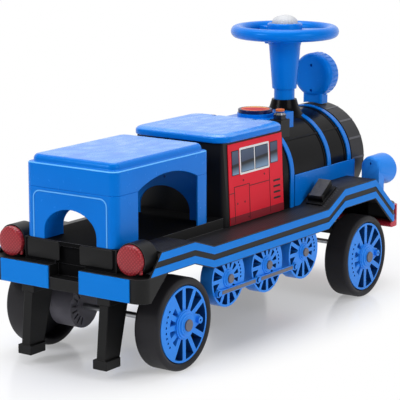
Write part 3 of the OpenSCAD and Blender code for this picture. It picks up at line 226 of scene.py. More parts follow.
def tread_deck():
    """Running boards: fine crossed tread on the inner part and a smooth border along the edges."""
    look, tree, shader, coords = begun("Black PP, moulded tread")
    # The real tread is about 2 mm; it is drawn at 5 mm so that it lasts at the picture's scale.
    ways = []
    for angle in (40, -40):
        turned = add(tree, "Mapping", {"Vector": coords, "Rotation": (0.0, 0.0, radians(angle))})
        ways.append(add(tree, "TexWave", {"Vector": turned, "Scale": WAVE / (5 * MM)}).outputs["Fac"])
    tread = add(tree, "Math", {0: ways[0], 1: ways[1]}, operation="MULTIPLY")
    part = add(tree, "SeparateXYZ", {0: coords})
    across = add(tree, "Math", {0: part.outputs["Y"]}, operation="ABSOLUTE")
    off_cab = add(tree, "Math", {0: across, 1: TREAD_INNER}, operation="SUBTRACT")
    off_edge = add(tree, "Math", {0: TREAD_OUTER, 1: across}, operation="SUBTRACT")
    step = {"From Min": -0.5 * MM, "From Max": 0.5 * MM}
    ends = [add(tree, "MapRange", {"Value": off, **step}) for off in (off_cab, off_edge)]
    inner = add(tree, "Math", {0: ends[0], 1: ends[1]}, operation="MULTIPLY")
    height = add(tree, "Math", {0: tread, 1: inner}, operation="MULTIPLY")
    wear = add(tree, "TexNoise", {"Vector": coords, "Scale": 1000 / 12})
    tones = {"Color1": linear("#18181A"), "Color2": linear("#3C3C42")}
    feed(tree, shader, {
        "Base Color": add(tree, "MixRGB", {"Fac": height, **tones}),
        "Roughness": add(tree, "MapRange", {"Value": wear, "To Min": 0.36, "To Max": 0.5}),
        "Normal": add(tree, "Bump", {"Height": height, "Distance": 0.8 * MM, "Strength": 0.7}),
        "Specular IOR Level": 0.3,
    })
    return look


def prism_lens():
    """Red lens: crossed prism lines that darken the plastic and break up the highlight."""
    look, tree, shader, coords = begun("Red PMMA, prism moulded")
    ways = []
    for angle in (45, -45):
        turned = add(tree, "Mapping", {"Vector": coords, "Rotation": (radians(angle), 0.0, 0.0)})
        # The prisms are about 2.5 mm; they are drawn at 4.5 mm so that they show.
        prisms = {"Vector": turned, "Scale": WAVE / (4.5 * MM)}
        ways.append(add(tree, "TexWave", prisms, bands_direction="Y").outputs["Fac"])
    lines = add(tree, "Math", {0: ways[0], 1: ways[1]}, operation="MULTIPLY")
    tones = {"Color1": linear("#8E2028"), "Color2": linear("#B83C44")}
    feed(tree, shader, {
        "Base Color": add(tree, "MixRGB", {"Fac": lines, **tones}),
        "Normal": add(tree, "Bump", {"Height": lines, "Distance": 0.6 * MM, "Strength": 0.5}),
        "Roughness": 0.28,
        "Specular IOR Level": 0.4,
    })
    return look


def fluted_lens():
    """Clear lamp glass: pale, with upright flutes that show as light and dark bars."""
    look, tree, shader, coords = begun("Clear PMMA, fluted")
    bars = {"Vector": coords, "Scale": WAVE / (8 * MM)}
    flutes = add(tree, "TexWave", bars, bands_direction="Y").outputs["Fac"]
    tones = {"Color1": linear("#AAB2BE"), "Color2": linear("#D8DCE2")}
    feed(tree, shader, {
        "Base Color": add(tree, "MixRGB", {"Fac": flutes, **tones}),
        "Normal": add(tree, "Bump", {"Height": flutes, "Distance": 0.6 * MM, "Strength": 0.6}),
        "Roughness": 0.14,
        "Coat Weight": 0.4,
    })
    return look


def window_print(low, high):
    """Printed window: slate above, a dark slanting band across the middle, paler below."""
    look, tree, shader, coords = begun("Window print on film")
    part = add(tree, "SeparateXYZ", {0: coords})
    up = add(tree, "MapRange", {"Value": part.outputs["Z"], "From Min": low.z, "From Max": high.z})
    length = {"From Min": low.x, "From Max": high.x, "To Max": 0.22}
    along = add(tree, "MapRange", {"Value": part.outputs["X"], **length})
    ramp = add(tree, "ValToRGB", {"Fac": add(tree, "Math", {0: up, 1: along}, operation="SUBTRACT")})
    stops = ramp.color_ramp.elements
    stops[0].position, stops[0].color = 0.0, linear("#7A97B4")
    stops[1].position, stops[1].color = 0.34, linear("#14161C")
    for place, colour in ((0.42, "#181A22"), (0.46, "#3A4660"), (0.92, "#4A5870")):
        stops.new(place).color = linear(colour)
    wave = add(tree, "TexNoise", {"Vector": coords, "Scale": 1000 / 14})
    feed(tree, shader, {
        "Base Color": ramp,
        "Normal": add(tree, "Bump", {"Height": wave, "Distance": 0.03 * MM, "Strength": 0.3}),
        "Roughness": 0.34,
        "Specular IOR Level": 0.25,
    })
    return look


def dial_print(centre):
    """Printed dial: a red ground that turns orange and yellow to one side, with a pale scale ring."""
    look, tree, shader, coords = begun("Dial print on film")
    place = add(tree, "VectorMath", {0: coords, 1: centre}, operation="SUBTRACT")
    part = add(tree, "SeparateXYZ", {0: place})
    slope = {0: part.outputs["Y"], 1: 0.5, 2: part.outputs["X"]}
    slant = add(tree, "Math", slope, operation="MULTIPLY_ADD")
    across = add(tree, "MapRange", {"Value": slant, "From Min": -24 * MM, "From Max": 20 * MM})
    ramp = add(tree, "ValToRGB", {"Fac": across})
    stops = ramp.color_ramp.elements
    stops[0].position, stops[0].color = 0.3, linear("#C4243A")
    stops[1].position, stops[1].color = 0.85, linear("#F4C860")
    stops.new(0.55).color = linear("#E8603C")
    flat = add(tree, "CombineXYZ", {"X": part.outputs["X"], "Y": part.outputs["Y"]})
    radius = add(tree, "VectorMath", {0: flat}, operation="LENGTH").outputs["Value"]
    ring = add(tree, "MapRange", {"Value": radius, "From Min": 22.5 * MM, "From Max": 23.5 * MM})
    feed(tree, shader, {
        "Base Color": add(tree, "MixRGB", {"Fac": ring, "Color1": ramp, "Color2": linear("#D86A50")}),
        "Normal": add(tree, "Bump", {"Height": radius, "Distance": 0.03 * MM, "Strength": 0.3}),
        "Roughness": 0.45,
        "Specular IOR Level": 0.1,
    })
    return look


seat_grain_and_highlight = pressed_leaf_and_highlight()
deck_tread = tread_deck()
red_lens = prism_lens()
lamp_lens = fluted_lens()


# Pieces

# Points this near to each other are one, and points this near to a cut lie on it.
TOUCHING = 0.001 * MM
ON_CUT = 0.01 * MM
# A face is on top where its normal rises by more than this.
LOOKS_UP = 0.6


def shown(name, bm, looks, body, replaced=(), round_mm=0.0, crease=35, rim=None):
    """A piece that rides on a body: smooth between creases, its edges rounded, perhaps in a rim's look that
    paints a highlight on them.
    """
    mesh = bpy.data.meshes.new(name)
    bm.to_mesh(mesh)
    bm.free()
    if "custom_normal" in mesh.attributes:
        mesh.attributes.remove(mesh.attributes["custom_normal"])
    mesh.shade_smooth()
    mesh.set_sharp_from_angle(angle=radians(crease))
    for look in looks:
        mesh.materials.append(look)
    piece = bpy.data.objects.new(name, mesh)
    bpy.context.scene.collection.objects.link(piece)
    if round_mm:
        bevel = piece.modifiers.new("Rounded edges", "BEVEL")
        bevel.width = round_mm * MM
        bevel.segments = 2
        bevel.limit_method = "ANGLE"
        bevel.angle_limit = radians(crease)
        bevel.harden_normals = True
        if rim:
            bevel.material = len(looks)
            mesh.materials.append(rim)
    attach(piece, body)
    if replaced:
        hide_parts(*replaced)


def merged(node):
    """A copy of a CAD node's mesh with its split corners joined and its flat faces whole."""
    bm = bmesh.new()
    bm.from_mesh(frame["nodes"][node].data)
    bmesh.ops.remove_doubles(bm, verts=bm.verts, dist=TOUCHING)
    bmesh.ops.dissolve_limit(bm, angle_limit=radians(0.5), verts=bm.verts, edges=bm.edges)
    for face in bm.faces:
        face.material_index = 0
    return bm


def whole(bm):
    """All the vertices, edges and faces of a mesh."""
    return bm.verts[:] + bm.edges[:] + bm.faces[:]


def points_of(geom):
    """The vertices among what an operator gives back."""
    return [g for g in geom if isinstance(g, bmesh.types.BMVert)]


def scored(bm, point, way):
    """Cuts a mesh along a plane and keeps both sides."""
    bmesh.ops.bisect_plane(bm, geom=whole(bm), plane_co=point, plane_no=way)


def trimmed(bm, point, way):
    """Cuts off the side of a mesh that way points to."""
    bmesh.ops.bisect_plane(bm, geom=whole(bm), plane_co=point, plane_no=way, clear_outer=True, dist=ON_CUT)


def rounded(bm, geom, size, steps, affect="EDGES", clamp=False):
    """Rounds edges, or the corners of a flat shape."""
    bmesh.ops.bevel(
        bm, geom=geom, offset=size, segments=steps, profile=0.5, affect=affect, material=-1,
        clamp_overlap=clamp,
    )


def creased(edge):
    """Whether the two faces at an edge turn from each other by more than 30 degrees."""
    return len(edge.link_faces) == 2 and edge.calc_face_angle(0.0) > radians(30)


def moulded(node, looks, round_mm, rules=(), cuts=(), pick=None, rim=None):
    """A CAD node as a moulding, with its edges eased and its looks picked by face.

    Each rule rounds the edges that pass its test by a size in millimetres, in a number of steps. The cuts are
    at values of y, where one look ends and another starts.
    """
    bm = merged(node)
    for y in cuts:
        scored(bm, (0, y, 0), (0, 1, 0))
    for test, size_mm, steps in rules:
        rounded(bm, [e for e in bm.edges if creased(e) and test(e)], size_mm * MM, steps, clamp=True)
    if pick:
        bm.normal_update()
        for face in bm.faces:
            face.material_index = int(pick(face))
    shown(node + "_moulded", bm, looks, BODIES[node], [node], round_mm, rim=rim)


def at_height(z, slack=0.3):
    """Edges that lie at one height."""
    return lambda e: all(abs(v.co.z - z) < slack * MM for v in e.verts)


def flat_top(z, slack=0.4):
    """Faces that look up at one height."""
    return lambda f: f.normal.z > 0.95 and f.calc_center_median().z > z - slack * MM


def blank(bm, low, high):
    """A flat rectangle in X and Y, and its corners."""
    corners = bmesh.ops.create_grid(bm, x_segments=1, y_segments=1, size=0.5)["verts"]
    bmesh.ops.scale(bm, vec=(high[0] - low[0], high[1] - low[1], 1.0), verts=corners)
    bmesh.ops.translate(bm, vec=((low[0] + high[0]) / 2, (low[1] + high[1]) / 2, 0.0), verts=corners)
    return corners


def plate(bm, low, high, thick, radius, ease=0.0, place=None):
    """A plate in X and Y from z = 0 up, with round corners and an eased upper edge, moved by place."""
    before = set(bm.verts)
    corners = blank(bm, low, high)
    if radius:
        rounded(bm, corners, radius, 4, "VERTICES")
    faces = [f for f in bm.faces if before.isdisjoint(f.verts)]
    raised = bmesh.ops.extrude_face_region(bm, geom=faces, use_keep_orig=True)["geom"]
    tops = [g for g in raised if isinstance(g, bmesh.types.BMFace)]
    bmesh.ops.translate(bm, vec=(0.0, 0.0, thick), verts=points_of(raised))
    if ease:
        rounded(bm, [e for f in tops for e in f.edges], ease, 3)
    verts = [v for v in bm.verts if v not in before]
    bmesh.ops.recalc_face_normals(bm, faces=[f for f in bm.faces if before.isdisjoint(f.verts)])
    if place:
        bmesh.ops.transform(bm, matrix=place, verts=verts)
    return verts


def lathe(bm, profile, place, steps=64):
    """Spins a profile of (radius, height) points in millimetres about the Z axis of place."""
    before = set(bm.verts)
    points = [bm.verts.new((r * MM, 0.0, h * MM)) for r, h in profile]
    lines = [bm.edges.new(pair) for pair in zip(points, points[1:])]
    bmesh.ops.spin(
        bm, geom=points + lines, cent=(0, 0, 0), axis=(0, 0, 1), angle=2 * pi, steps=steps, use_merge=True,
    )
    bmesh.ops.remove_doubles(bm, verts=[v for v in bm.verts if v not in before], dist=TOUCHING)
    bmesh.ops.recalc_face_normals(bm, faces=[f for f in bm.faces if before.isdisjoint(f.verts)])
    bmesh.ops.transform(bm, matrix=place, verts=[v for v in bm.verts if v not in before])


def facing(point, way):
    """A place whose Z axis points out of one side of the train."""
    turns = {"-x": (-90, "Y"), "+x": (90, "Y"), "-y": (90, "X"), "+y": (-90, "X")}
    angle, axis = turns[way]
    return Matrix.Translation(point) @ Matrix.Rotation(radians(angle), 4, axis)


def outward(y):
    """The side of the train on which y lies."""
    return "+y" if y > 0 else "-y"


def round_bar(bm, start, end, r_mm):
    """A round bar between two points."""
    along = end - start
    turn = along.to_track_quat("Z", "Y").to_matrix().to_4x4()
    bmesh.ops.create_cone(
        bm, cap_ends=True, segments=12, radius1=r_mm * MM, radius2=r_mm * MM, depth=along.length,
        matrix=Matrix.Translation((start + end) / 2) @ turn,
    )


def three_along(node):
    """The x of the three centres in a row of round shapes, their height and their radius."""
    low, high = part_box(node)
    r = (high.z - low.z) / 2
    step = (high.x - low.x) / 2 - r
    return [low.x + r + i * step for i in range(3)], low.z + r, r


# Pieces that keep the CAD's shape, with their edges eased
for look, round_mm, nodes in (
    (gloss_blue, 0.5, ["boiler_bands"]),
    (stripe_film, 0.4, ["side_stripes", "bumper_plates"]),
    (gloss_blue, 1.2, ["boiler_valances", "stool_rear_panel", "stool_front_panel", "console_base"]),
    (wheel_blue, 0.9, ["coupling_rods"]),
    (satin_black, 2.2, ["anti_tip_legs"]),
    (satin_black, 1.0, ["cab_shell", "side_frames", "front_beam", "pedal_base", "switch_block"]),
    (gloss_black, 0.8, ["boiler_shell", "steering_shroud"]),
    (blown_tyre, 0.5, ["tyre_" + c for c in CORNERS]),
    (grey_pp, 0.8, ["dummy_caps", "gearbox_housing", *("cap_" + c for c in CORNERS)]),
    (dark_grey_pp, 0.8, ["axle_brackets"]),
    (red_bumper, 1.5, ["front_bumper"]),
    (red_film, 0.4, ["cab_panels"]),
    (orange, 1.5, ["console_button"]),
    (lamp_lens, 0.8, ["headlamp_lenses", "top_lamp_lens"]),
    (steel, 0.5, ["seat_hinge_pin", "rear_axle", "steering_shaft", "knuckle_right", "knuckle_left"]),
    (steel, 0.5, ["tie_rod", "motor"]),
    (battery_case, 1.5, ["battery"]),
):
    for node in nodes:
        moulded(node, [look], round_mm)

# Wheels: the flanks of their spokes lie in the shade of the deep openings
DUMMY_HUB_SHARE = 0.48
ROAD_HUB_SHARE = 0.6
RIM_SHARE = 0.94


def flanks(node, hub_share):
    """Faces across the spokes, from the hub out to just inside the rim."""
    axles, axle_z, wheel_r = three_along(node)

    def is_flank(face):
        x, _, z = face.calc_center_median()
        away = min(Vector((x - axle, z - axle_z)).length for axle in axles)
        return abs(face.normal.y) < 0.4 and hub_share * wheel_r < away < RIM_SHARE * wheel_r

    return is_flank


for node in ("dummy_wheels", *("disc_" + c for c in CORNERS)):
    share = DUMMY_HUB_SHARE if node == "dummy_wheels" else ROAD_HUB_SHARE
    moulded(node, [wheel_blue, spoke_shade], 0.7, pick=flanks(node, share))

# Seat lid: a soft cushion shape with well-rounded corners, open at its front edge for the two hinge lugs.
# It is made too thick and pressed flat after its edges are rounded, so that they reach far in.
LID_SQUEEZE = 0.55
LID_CORNER = 27 * MM
LID_TOP_EDGE = 19 * MM
LID_FOOT_EDGE = 5 * MM
LID_WALL = 8 * MM
LID_HOLLOW = 5 * MM
LUG_Y = 44 * MM
LUG_HALF = 5.6 * MM
LUG_REACH = 12 * MM
SLACK = 0.1 * MM
seat_low, seat_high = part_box("seat_lid")
lid_t = (seat_high.z - seat_low.z) / LID_SQUEEZE
lug_x = middle("seat_hinge_pin").x - LUG_REACH


def in_slot(point, slack=0.0):
    """Whether a point lies in a slot for one of the hinge lugs."""
    return point.x > lug_x - slack and abs(abs(point.y) - LUG_Y) < LUG_HALF + slack


def on_slot(edge):
    """Edges on the walls of the slots for the hinge lugs."""
    centre = (edge.verts[0].co + edge.verts[1].co) / 2
    return in_slot(centre, SLACK) and centre.x < seat_high.x - SLACK


bm = bmesh.new()
rounded(bm, blank(bm, (seat_low.x, -seat_high.y), (seat_high.x, seat_high.y)), LID_CORNER, 10, "VERTICES")
scored(bm, (lug_x, 0, 0), (1, 0, 0))
for lug_y in (-LUG_Y, LUG_Y):
    for wall in (-LUG_HALF, LUG_HALF):
        scored(bm, (0, lug_y + wall, 0), (0, 1, 0))
bmesh.ops.delete(bm, geom=[f for f in bm.faces if in_slot(f.calc_center_median())], context="FACES")
bmesh.ops.dissolve_faces(bm, faces=bm.faces[:])
bmesh.ops.recalc_face_normals(bm, faces=bm.faces)
raised = bmesh.ops.extrude_face_region(bm, geom=bm.faces[:], use_keep_orig=True)["geom"]
bmesh.ops.translate(bm, vec=(0, 0, lid_t), verts=points_of(raised))
bmesh.ops.recalc_face_normals(bm, faces=bm.faces)
bm.normal_update()
for level, size in ((lid_t, LID_TOP_EDGE), (0.0, LID_FOOT_EDGE)):
    brim = [e for e in bm.edges if at_height(level)(e) and creased(e) and not on_slot(e)]
    rounded(bm, brim, size, 8, clamp=True)
bmesh.ops.scale(bm, vec=(1, 1, LID_SQUEEZE), verts=bm.verts)
bmesh.ops.translate(bm, vec=(0, 0, seat_low.z), verts=bm.verts)
bm.normal_update()
under = [f for f in bm.faces if f.normal.z < -0.99 and f.calc_center_median().z < seat_low.z + SLACK]
bmesh.ops.inset_region(bm, faces=under, thickness=LID_WALL, use_even_offset=False)
bmesh.ops.translate(bm, vec=(0, 0, LID_HOLLOW), verts=list({v for f in under for v in f.verts}))
bm.normal_update()
for face in bm.faces:
    face.material_index = int(face.normal.z > LOOKS_UP)
shown("seat_lid_cushion", bm, [gloss_blue, seat_grain_and_highlight], "seat", ["seat_lid"])

# The stool's pad has a broad round edge and stands on a narrow ledge
PAD_RISE = 12 * MM
LEDGE_RIM = 3.2 * MM
stool_low, stool_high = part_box("stool_lid")
ledge_z = stool_high.z - PAD_RISE


def stool_look(face):
    """Leaf grain with its painted highlight on the pad's top, and a painted highlight along the ledge."""
    z = face.calc_center_median().z
    if flat_top(stool_high.z)(face):
        return 1
    return 2 if 0.2 < face.normal.z < 0.98 and ledge_z - LEDGE_RIM < z < ledge_z else 0


moulded(
    "stool_lid", [gloss_blue, seat_grain_and_highlight, blue_painted_highlight], 1.0,
    rules=[(at_height(stool_high.z), 8.5, 6), (at_height(ledge_z), 3.0, 4)],
    pick=stool_look,
)

# Deck and rear bumper: the coupling recess and the floor under the stool are matt and a little darker, as
# painted shade, and rounded edges carry a painted highlight
RECESS_HALF = 32 * MM
RECESS_DEPTH = 18 * MM
FLOOR_PAST_STOOL = 30 * MM
tail_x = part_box("rear_bumper")[0].x


def deck_look(face):
    """Tread on the running boards and ramps, and a matt floor under the stool, darker as painted shade."""
    x, y, _ = face.calc_center_median()
    if face.normal.z < 0.8:
        return 2 if face.normal.x < -0.8 and abs(y) < RECESS_HALF else 0
    return 2 if abs(y) < stool_high.y and x < stool_high.x + FLOOR_PAST_STOOL else 1


def in_recess(face):
    """Faces deep in the coupling recess, which take the painted shade."""
    x, y, _ = face.calc_center_median()
    return abs(y) < RECESS_HALF and x > tail_x + RECESS_DEPTH


moulded(
    "chassis_shell", [satin_black, deck_tread, shade_black], 1.2,
    cuts=(stool_low.y, stool_high.y), pick=deck_look, rim=black_painted_highlight,
)
moulded("rear_bumper", [satin_black, shade_black], 2.2, pick=in_recess, rim=black_painted_highlight)

# Top lamp: its flutes are drawn shallower than the CAD cuts them, and their edges are soft
FLUTE_DEPTH = 2.7 * MM
FLUTE_SHARE = 0.5
LAMP_BACK = 10 * MM
lamp_low, lamp_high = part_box("top_lamp")
lamp_r = lamp_high.y
lamp_axis = Vector((0.0, lamp_high.z - lamp_r))
bm = merged("top_lamp")
for v in bm.verts:
    out = v.co.yz - lamp_axis
    sunk = lamp_r - out.length
    if SLACK < sunk < FLUTE_DEPTH and v.co.x > lamp_low.x + LAMP_BACK:
        v.co.yz = lamp_axis + out * (lamp_r - FLUTE_SHARE * sunk) / out.length
shown("top_lamp_fluted", bm, [gloss_blue], "train", ["top_lamp"], 1.0)

# Smokebox: its ribs are pressed lower than in the CAD, and painted paler on their tops as a highlight
CAD_RIB = 2 * MM
LOW_RIB = 0.5 * MM
smoke_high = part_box("smokebox")[1]
smoke_r = smoke_high.y - CAD_RIB
smoke_axis = Vector((0.0, smoke_high.z - smoke_high.y))
bm = merged("smokebox")
for v in bm.verts:
    out = v.co.yz - smoke_axis
    if out.length > smoke_r + LOW_RIB + SLACK:
        v.co.yz = smoke_axis + out * ((smoke_r + LOW_RIB) / out.length)
bm.normal_update()
for face in bm.faces:
    out = face.calc_center_median().yz - smoke_axis
    face.material_index = int(out.length > smoke_r + 0.6 * LOW_RIB and abs(face.normal.x) < 0.5)
shown("smokebox_ribbed", bm, [smoke_grey, rib_highlight_grey], "train", ["smokebox"], 0.6)

# The housings' lighter blue is partly painted light.
moulded("headlamp_housings", [lamp_blue_and_painted_light], 1.2)
moulded("foot_pedal", [satin_black, pedal_grain], 2.2, pick=lambda f: f.normal.z > LOOKS_UP)

hub_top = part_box("steering_wheel")[1].z
moulded("steering_wheel", [gloss_blue], 1.5, rules=[(at_height(hub_top), 5.0, 4)])
moulded("steering_column", [gloss_blue], 1.5)

# Dial: a low crowned face in its bezel. Its crown is given in shares of its radius, its edge in millimetres
# from its radius, and both with heights in millimetres.
DIAL_CROWN = [(0, 2), (0.5, 1.7), (0.8, 0.9)]
DIAL_EDGE = [(-0.6, 0.2), (0, -0.6), (0, -4)]
bezel_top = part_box("dial_bezel")[1].z
dial_centre = middle("dial_bezel")
moulded("dial_bezel", [navy], 0.6, rules=[(at_height(bezel_top), 1.2, 3)])
dial_low, dial_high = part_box("dial_face")
dial_r = (dial_high.x - dial_low.x) / 2 / MM
crown = [(dial_r * share, h) for share, h in DIAL_CROWN] + [(dial_r + r, h) for r, h in DIAL_EDGE]
bm = bmesh.new()
lathe(bm, [*crown, (0, -4)], Matrix.Translation((dial_centre.x, dial_centre.y, bezel_top)))
shown("dial_face_crowned", bm, [dial_print(dial_centre)], "train", ["dial_face"])


def knob_facet(face):
    """Every other facet of the knob's chamfer is bright."""
    turn = face.normal.xy.angle_signed(Vector((1, 0)), 0.0) / pi
    return 0.3 < face.normal.z < 0.9 and int(8 * (1 + turn)) % 2


knob_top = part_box("switch_knob")[1].z
moulded("switch_knob", [knob_black, chromed], 0.0, rules=[(at_height(knob_top), 3.5, 1)], pick=knob_facet)

# Tail lamp lenses: thick discs with a low crown, and a small tab on the right of each.
# The edge is given as millimetres from the lens's radius and from its face.
LENS_CROWN = 2.4
LENS_EDGE = [(-15, 2.2), (-7, 2.0), (-2.5, 1.2), (-0.6, 0.2), (0, -1.2), (0, -9)]
LENS_BACK = LENS_EDGE[-1][1]
LENS_PROUD = 2.5 * MM
TAB_LOW, TAB_HIGH = (-5 * MM, -2.5 * MM), (3 * MM, 2.5 * MM)
TAB_SUNK = 6 * MM
TAB_T = 3 * MM
TAB_CORNER = 1 * MM
TAB_EASE = 0.8 * MM
lens_low, lens_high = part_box("tail_lamp_lenses")
lens_r = (lens_high.z - lens_low.z) / 2
lens_profile = [(0, LENS_CROWN), *((lens_r / MM + r, h) for r, h in LENS_EDGE), (0, LENS_BACK)]
bm = bmesh.new()
for side in SIDES:
    centre = Vector((lens_low.x + LENS_PROUD, side * (lens_high.y - lens_r), (lens_low.z + lens_high.z) / 2))
    lathe(bm, lens_profile, facing(centre, "-x"))
    tab = centre + Vector((TAB_SUNK, -0.8 * lens_r, -0.66 * lens_r))
    plate(bm, TAB_LOW, TAB_HIGH, TAB_T, TAB_CORNER, TAB_EASE, facing(tab, "-x"))
shown("tail_lamp_lenses_crowned", bm, [red_lens], "train", ["tail_lamp_lenses"])

# Horn: a white dome with flutes from the crown to its foot, which fade in towards the crown
HORN_RISE = 14 * MM
HORN_SKIRT = 9 * MM
HORN_FLUTES = 24
HORN_FLUTE_SHARE = 0.09
HORN_FADE = 1.6
horn_low, horn_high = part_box("horn_button")
horn_r = (horn_high.x - horn_low.x) / 2
bm = bmesh.new()
bmesh.ops.create_uvsphere(bm, u_segments=2 * HORN_FLUTES, v_segments=16, radius=1.0)
trimmed(bm, (0, 0, 0), (0, 0, -1))
bmesh.ops.scale(bm, vec=(horn_r, horn_r, HORN_RISE), verts=bm.verts)
for v in bm.verts:
    turn = v.co.xy.angle_signed(Vector((1, 0)), 0.0)
    fade = min(1.0, v.co.xy.length / horn_r * HORN_FADE)
    v.co.xy *= 1 - HORN_FLUTE_SHARE * (0.5 - 0.5 * cos(HORN_FLUTES * turn)) * fade
foot = bmesh.ops.extrude_edge_only(bm, edges=[e for e in bm.edges if len(e.link_faces) == 1])["geom"]
bmesh.ops.translate(bm, vec=(0, 0, -HORN_SKIRT), verts=points_of(foot))
bmesh.ops.holes_fill(bm, edges=bm.edges[:], sides=0)
bmesh.ops.translate(bm, vec=((horn_low.x + horn_high.x) / 2, 0, horn_high.z - HORN_RISE), verts=bm.verts)
bmesh.ops.recalc_face_normals(bm, faces=bm.faces)
shown("horn_button_fluted", bm, [white_dome], "horn", ["horn_button"], crease=60)

# Stepped hub rings round the grey caps, as (radius, height) in millimetres
HUB_STEPS = [
    (13.6, -5.4), (22.5, -5.4), (22.5, -3.9), (21.6, -3.1), (18.6, -3.1),
    (18, -2.4), (18, -1.4), (17.2, -0.7), (13.6, -0.7), (13.6, -5.4),
]
for corner in CORNERS:
    low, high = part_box("cap_" + corner)
    cap = middle("cap_" + corner)
    cap.y = low.y if cap.y > 0 else high.y
    bm = bmesh.new()
    lathe(bm, HUB_STEPS, facing(cap, outward(cap.y)))
    shown("hub_rings_" + corner, bm, [wheel_blue], "wheel_" + corner)

DUMMY_STEPS = [
    (10.7, -4.2), (15.6, -4.2), (15.6, -2.9), (14.9, -2.2), (13, -2.2),
    (12.6, -1.4), (12.2, -0.6), (10.7, -0.6), (10.7, -4.2),
]
DUMMY_CAP_T = 3 * MM
axles, axle_z, _ = three_along("dummy_caps")
ring_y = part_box("dummy_caps")[1].y - DUMMY_CAP_T
bm = bmesh.new()
for x in axles:
    for side in SIDES:
        lathe(bm, DUMMY_STEPS, facing(Vector((x, side * ring_y, axle_z)), outward(side)), 48)
shown("hub_rings_dummies", bm, [wheel_blue], "train")

# Grey strips let into the coupling rods, between their eyes
STRIP_END = 9 * MM
STRIP_HALF = 3 * MM
STRIP_T = 0.8 * MM
STRIP_CORNER = 0.8 * MM
STRIP_EASE = 0.3 * MM
eyes, rod_z, _ = three_along("coupling_rods")
strip_low, strip_high = (STRIP_END, -STRIP_HALF), (eyes[1] - eyes[0] - STRIP_END, STRIP_HALF)
rod_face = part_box("coupling_rods")[1].y
bm = bmesh.new()
for x in eyes[:2]:
    for side in SIDES:
        place = facing(Vector((x, side * rod_face, rod_z)), outward(side))
        plate(bm, strip_low, strip_high, STRIP_T, STRIP_CORNER, STRIP_EASE, place)
shown("rod_strips", bm, [grey_pp], "train")

# Print on the cab's side panels, which slant in from the foot to the rim
cab_low, cab_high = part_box("cab_shell")
RIM_HALF = 92 * MM
RIM_Z = 342 * MM
FOOT_HALF = cab_high.y
FOOT_Z = cab_low.z
PANEL_T = 1.5 * MM
PRINT_T = 0.25 * MM


def side_plates(name, look, boxes, lift, radius=0.0):
    """Thin prints on both cab sides: boxes of x and z in millimetres, lifted off the slanting panel."""
    bm = bmesh.new()
    for side in SIDES:
        for x0, z0, x1, z1 in boxes:
            low, high = spot(x0, z0), spot(x1, z1)
            for v in plate(bm, (low.x, low.z), (high.x, high.z), PRINT_T, radius * MM):
                x, z, out = v.co
                wall = FOOT_HALF + (RIM_HALF - FOOT_HALF) * (z - FOOT_Z) / (RIM_Z - FOOT_Z)
                v.co = (x, side * (wall + PANEL_T + lift * MM + out), z)
    bmesh.ops.recalc_face_normals(bm, faces=bm.faces)
    shown(name, bm, [look], "train")


RIVET_R = 1.7
RIVETS = ((264, 270), (331, 271.5), (243.5, 231.4), (266.5, 231.6), (277.5, 203))
LOUVRE_H = 3.4
LOUVRES = (221, 231.5, 242, 252.5)
side_plates("cab_foot_band", dark_red_ink, [(219.5, 196.5, 391.5, 210)], 0.0)
side_plates("cab_door_lines", line_ink, [
    (234.5, 198, 235.7, 262), (281, 198, 282.2, 262), (234.5, 261, 282.2, 262.2), (347, 198, 348.2, 281),
    (282.2, 257, 347, 258.2), (219.5, 251, 234.5, 252.2),
], 0.15)
side_plates("cab_rivets", line_ink, [
    (x - RIVET_R, z - RIVET_R, x + RIVET_R, z + RIVET_R) for x, z in RIVETS
], 0.2, 1.6)
side_plates("cab_louvres", black_ink, [(359.5, z, 381.5, z + LOUVRE_H) for z in LOUVRES], 0.2, 1.0)
side_plates("cab_window_frame", white_ink, [(254, 280.5, 348.5, 328)], 0.1, 3.0)
side_plates("cab_window_edges", black_ink, [
    (229, 282, 251.5, 325.5), (351, 287, 376, 325.5),
    (257.8, 284.2, 299.6, 324.2), (302.4, 284.2, 344.6, 324.2),
], 0.3, 1.5)
side_plates("cab_window_panes", window_print(spot(231, 283), spot(379, 324)), [
    (230.2, 283.2, 250.3, 324.3), (352.2, 288.2, 374.8, 324.3),
    (258.8, 285.2, 298.8, 323.2), (303.2, 285.2, 343.6, 323.2),
], 0.5, 1.0)

# Boiler: a raised seam along each side, and a ridge behind each of the two front bands.
# The ridge is given as millimetres from the boiler's radius and along it.
RIDGE = [(-1, -2), (0.9, -1.6), (1.3, 0), (0.9, 1.6), (-1, 2), (-1, -2)]
SEAM_ANGLE = radians(51)
SEAM_R_MM = 1.8
SEAM_START = 34 * MM
SEAM_END = 1 * MM
boiler_low, boiler_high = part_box("boiler_shell")
boiler_r = boiler_high.y
boiler_z = boiler_high.z - boiler_r
bm = bmesh.new()
for ridge_x in (543, 616):
    ridge = [(boiler_r / MM + r, h) for r, h in RIDGE]
    lathe(bm, ridge, facing(spot(ridge_x, boiler_z / MM), "+x"), 96)
trimmed(bm, (0, 0, boiler_z), (0, 0, -1))
bmesh.ops.holes_fill(bm, edges=bm.edges[:], sides=0)
for side in SIDES:
    seam_y, seam_z = side * boiler_r * sin(SEAM_ANGLE), boiler_z + boiler_r * cos(SEAM_ANGLE)
    ends = (boiler_low.x + SEAM_START, boiler_high.x - SEAM_END)
    round_bar(bm, *(Vector((x, seam_y, seam_z)) for x in ends), SEAM_R_MM)
shown("boiler_seams", bm, [gloss_black], "train")

# Blocks on the platform's rear wall, beside the coupling recess
BLOCK_Y = 55 * MM
BLOCK_Z = 195 * MM
BLOCK_LOW, BLOCK_HIGH = (-16 * MM, -34 * MM), (16 * MM, 34 * MM)
BLOCK_T = 2 * MM
BLOCK_CORNER = 4 * MM
BLOCK_EASE = 1.4 * MM
BLOCK_BEHIND = 1 * MM
bm = bmesh.new()
for side in SIDES:
    place = facing(Vector((stool_low.x - BLOCK_BEHIND, side * BLOCK_Y, BLOCK_Z)), "-x")
    plate(bm, BLOCK_LOW, BLOCK_HIGH, BLOCK_T, BLOCK_CORNER, BLOCK_EASE, place)
shown("platform_blocks", bm, [satin_black], "train")
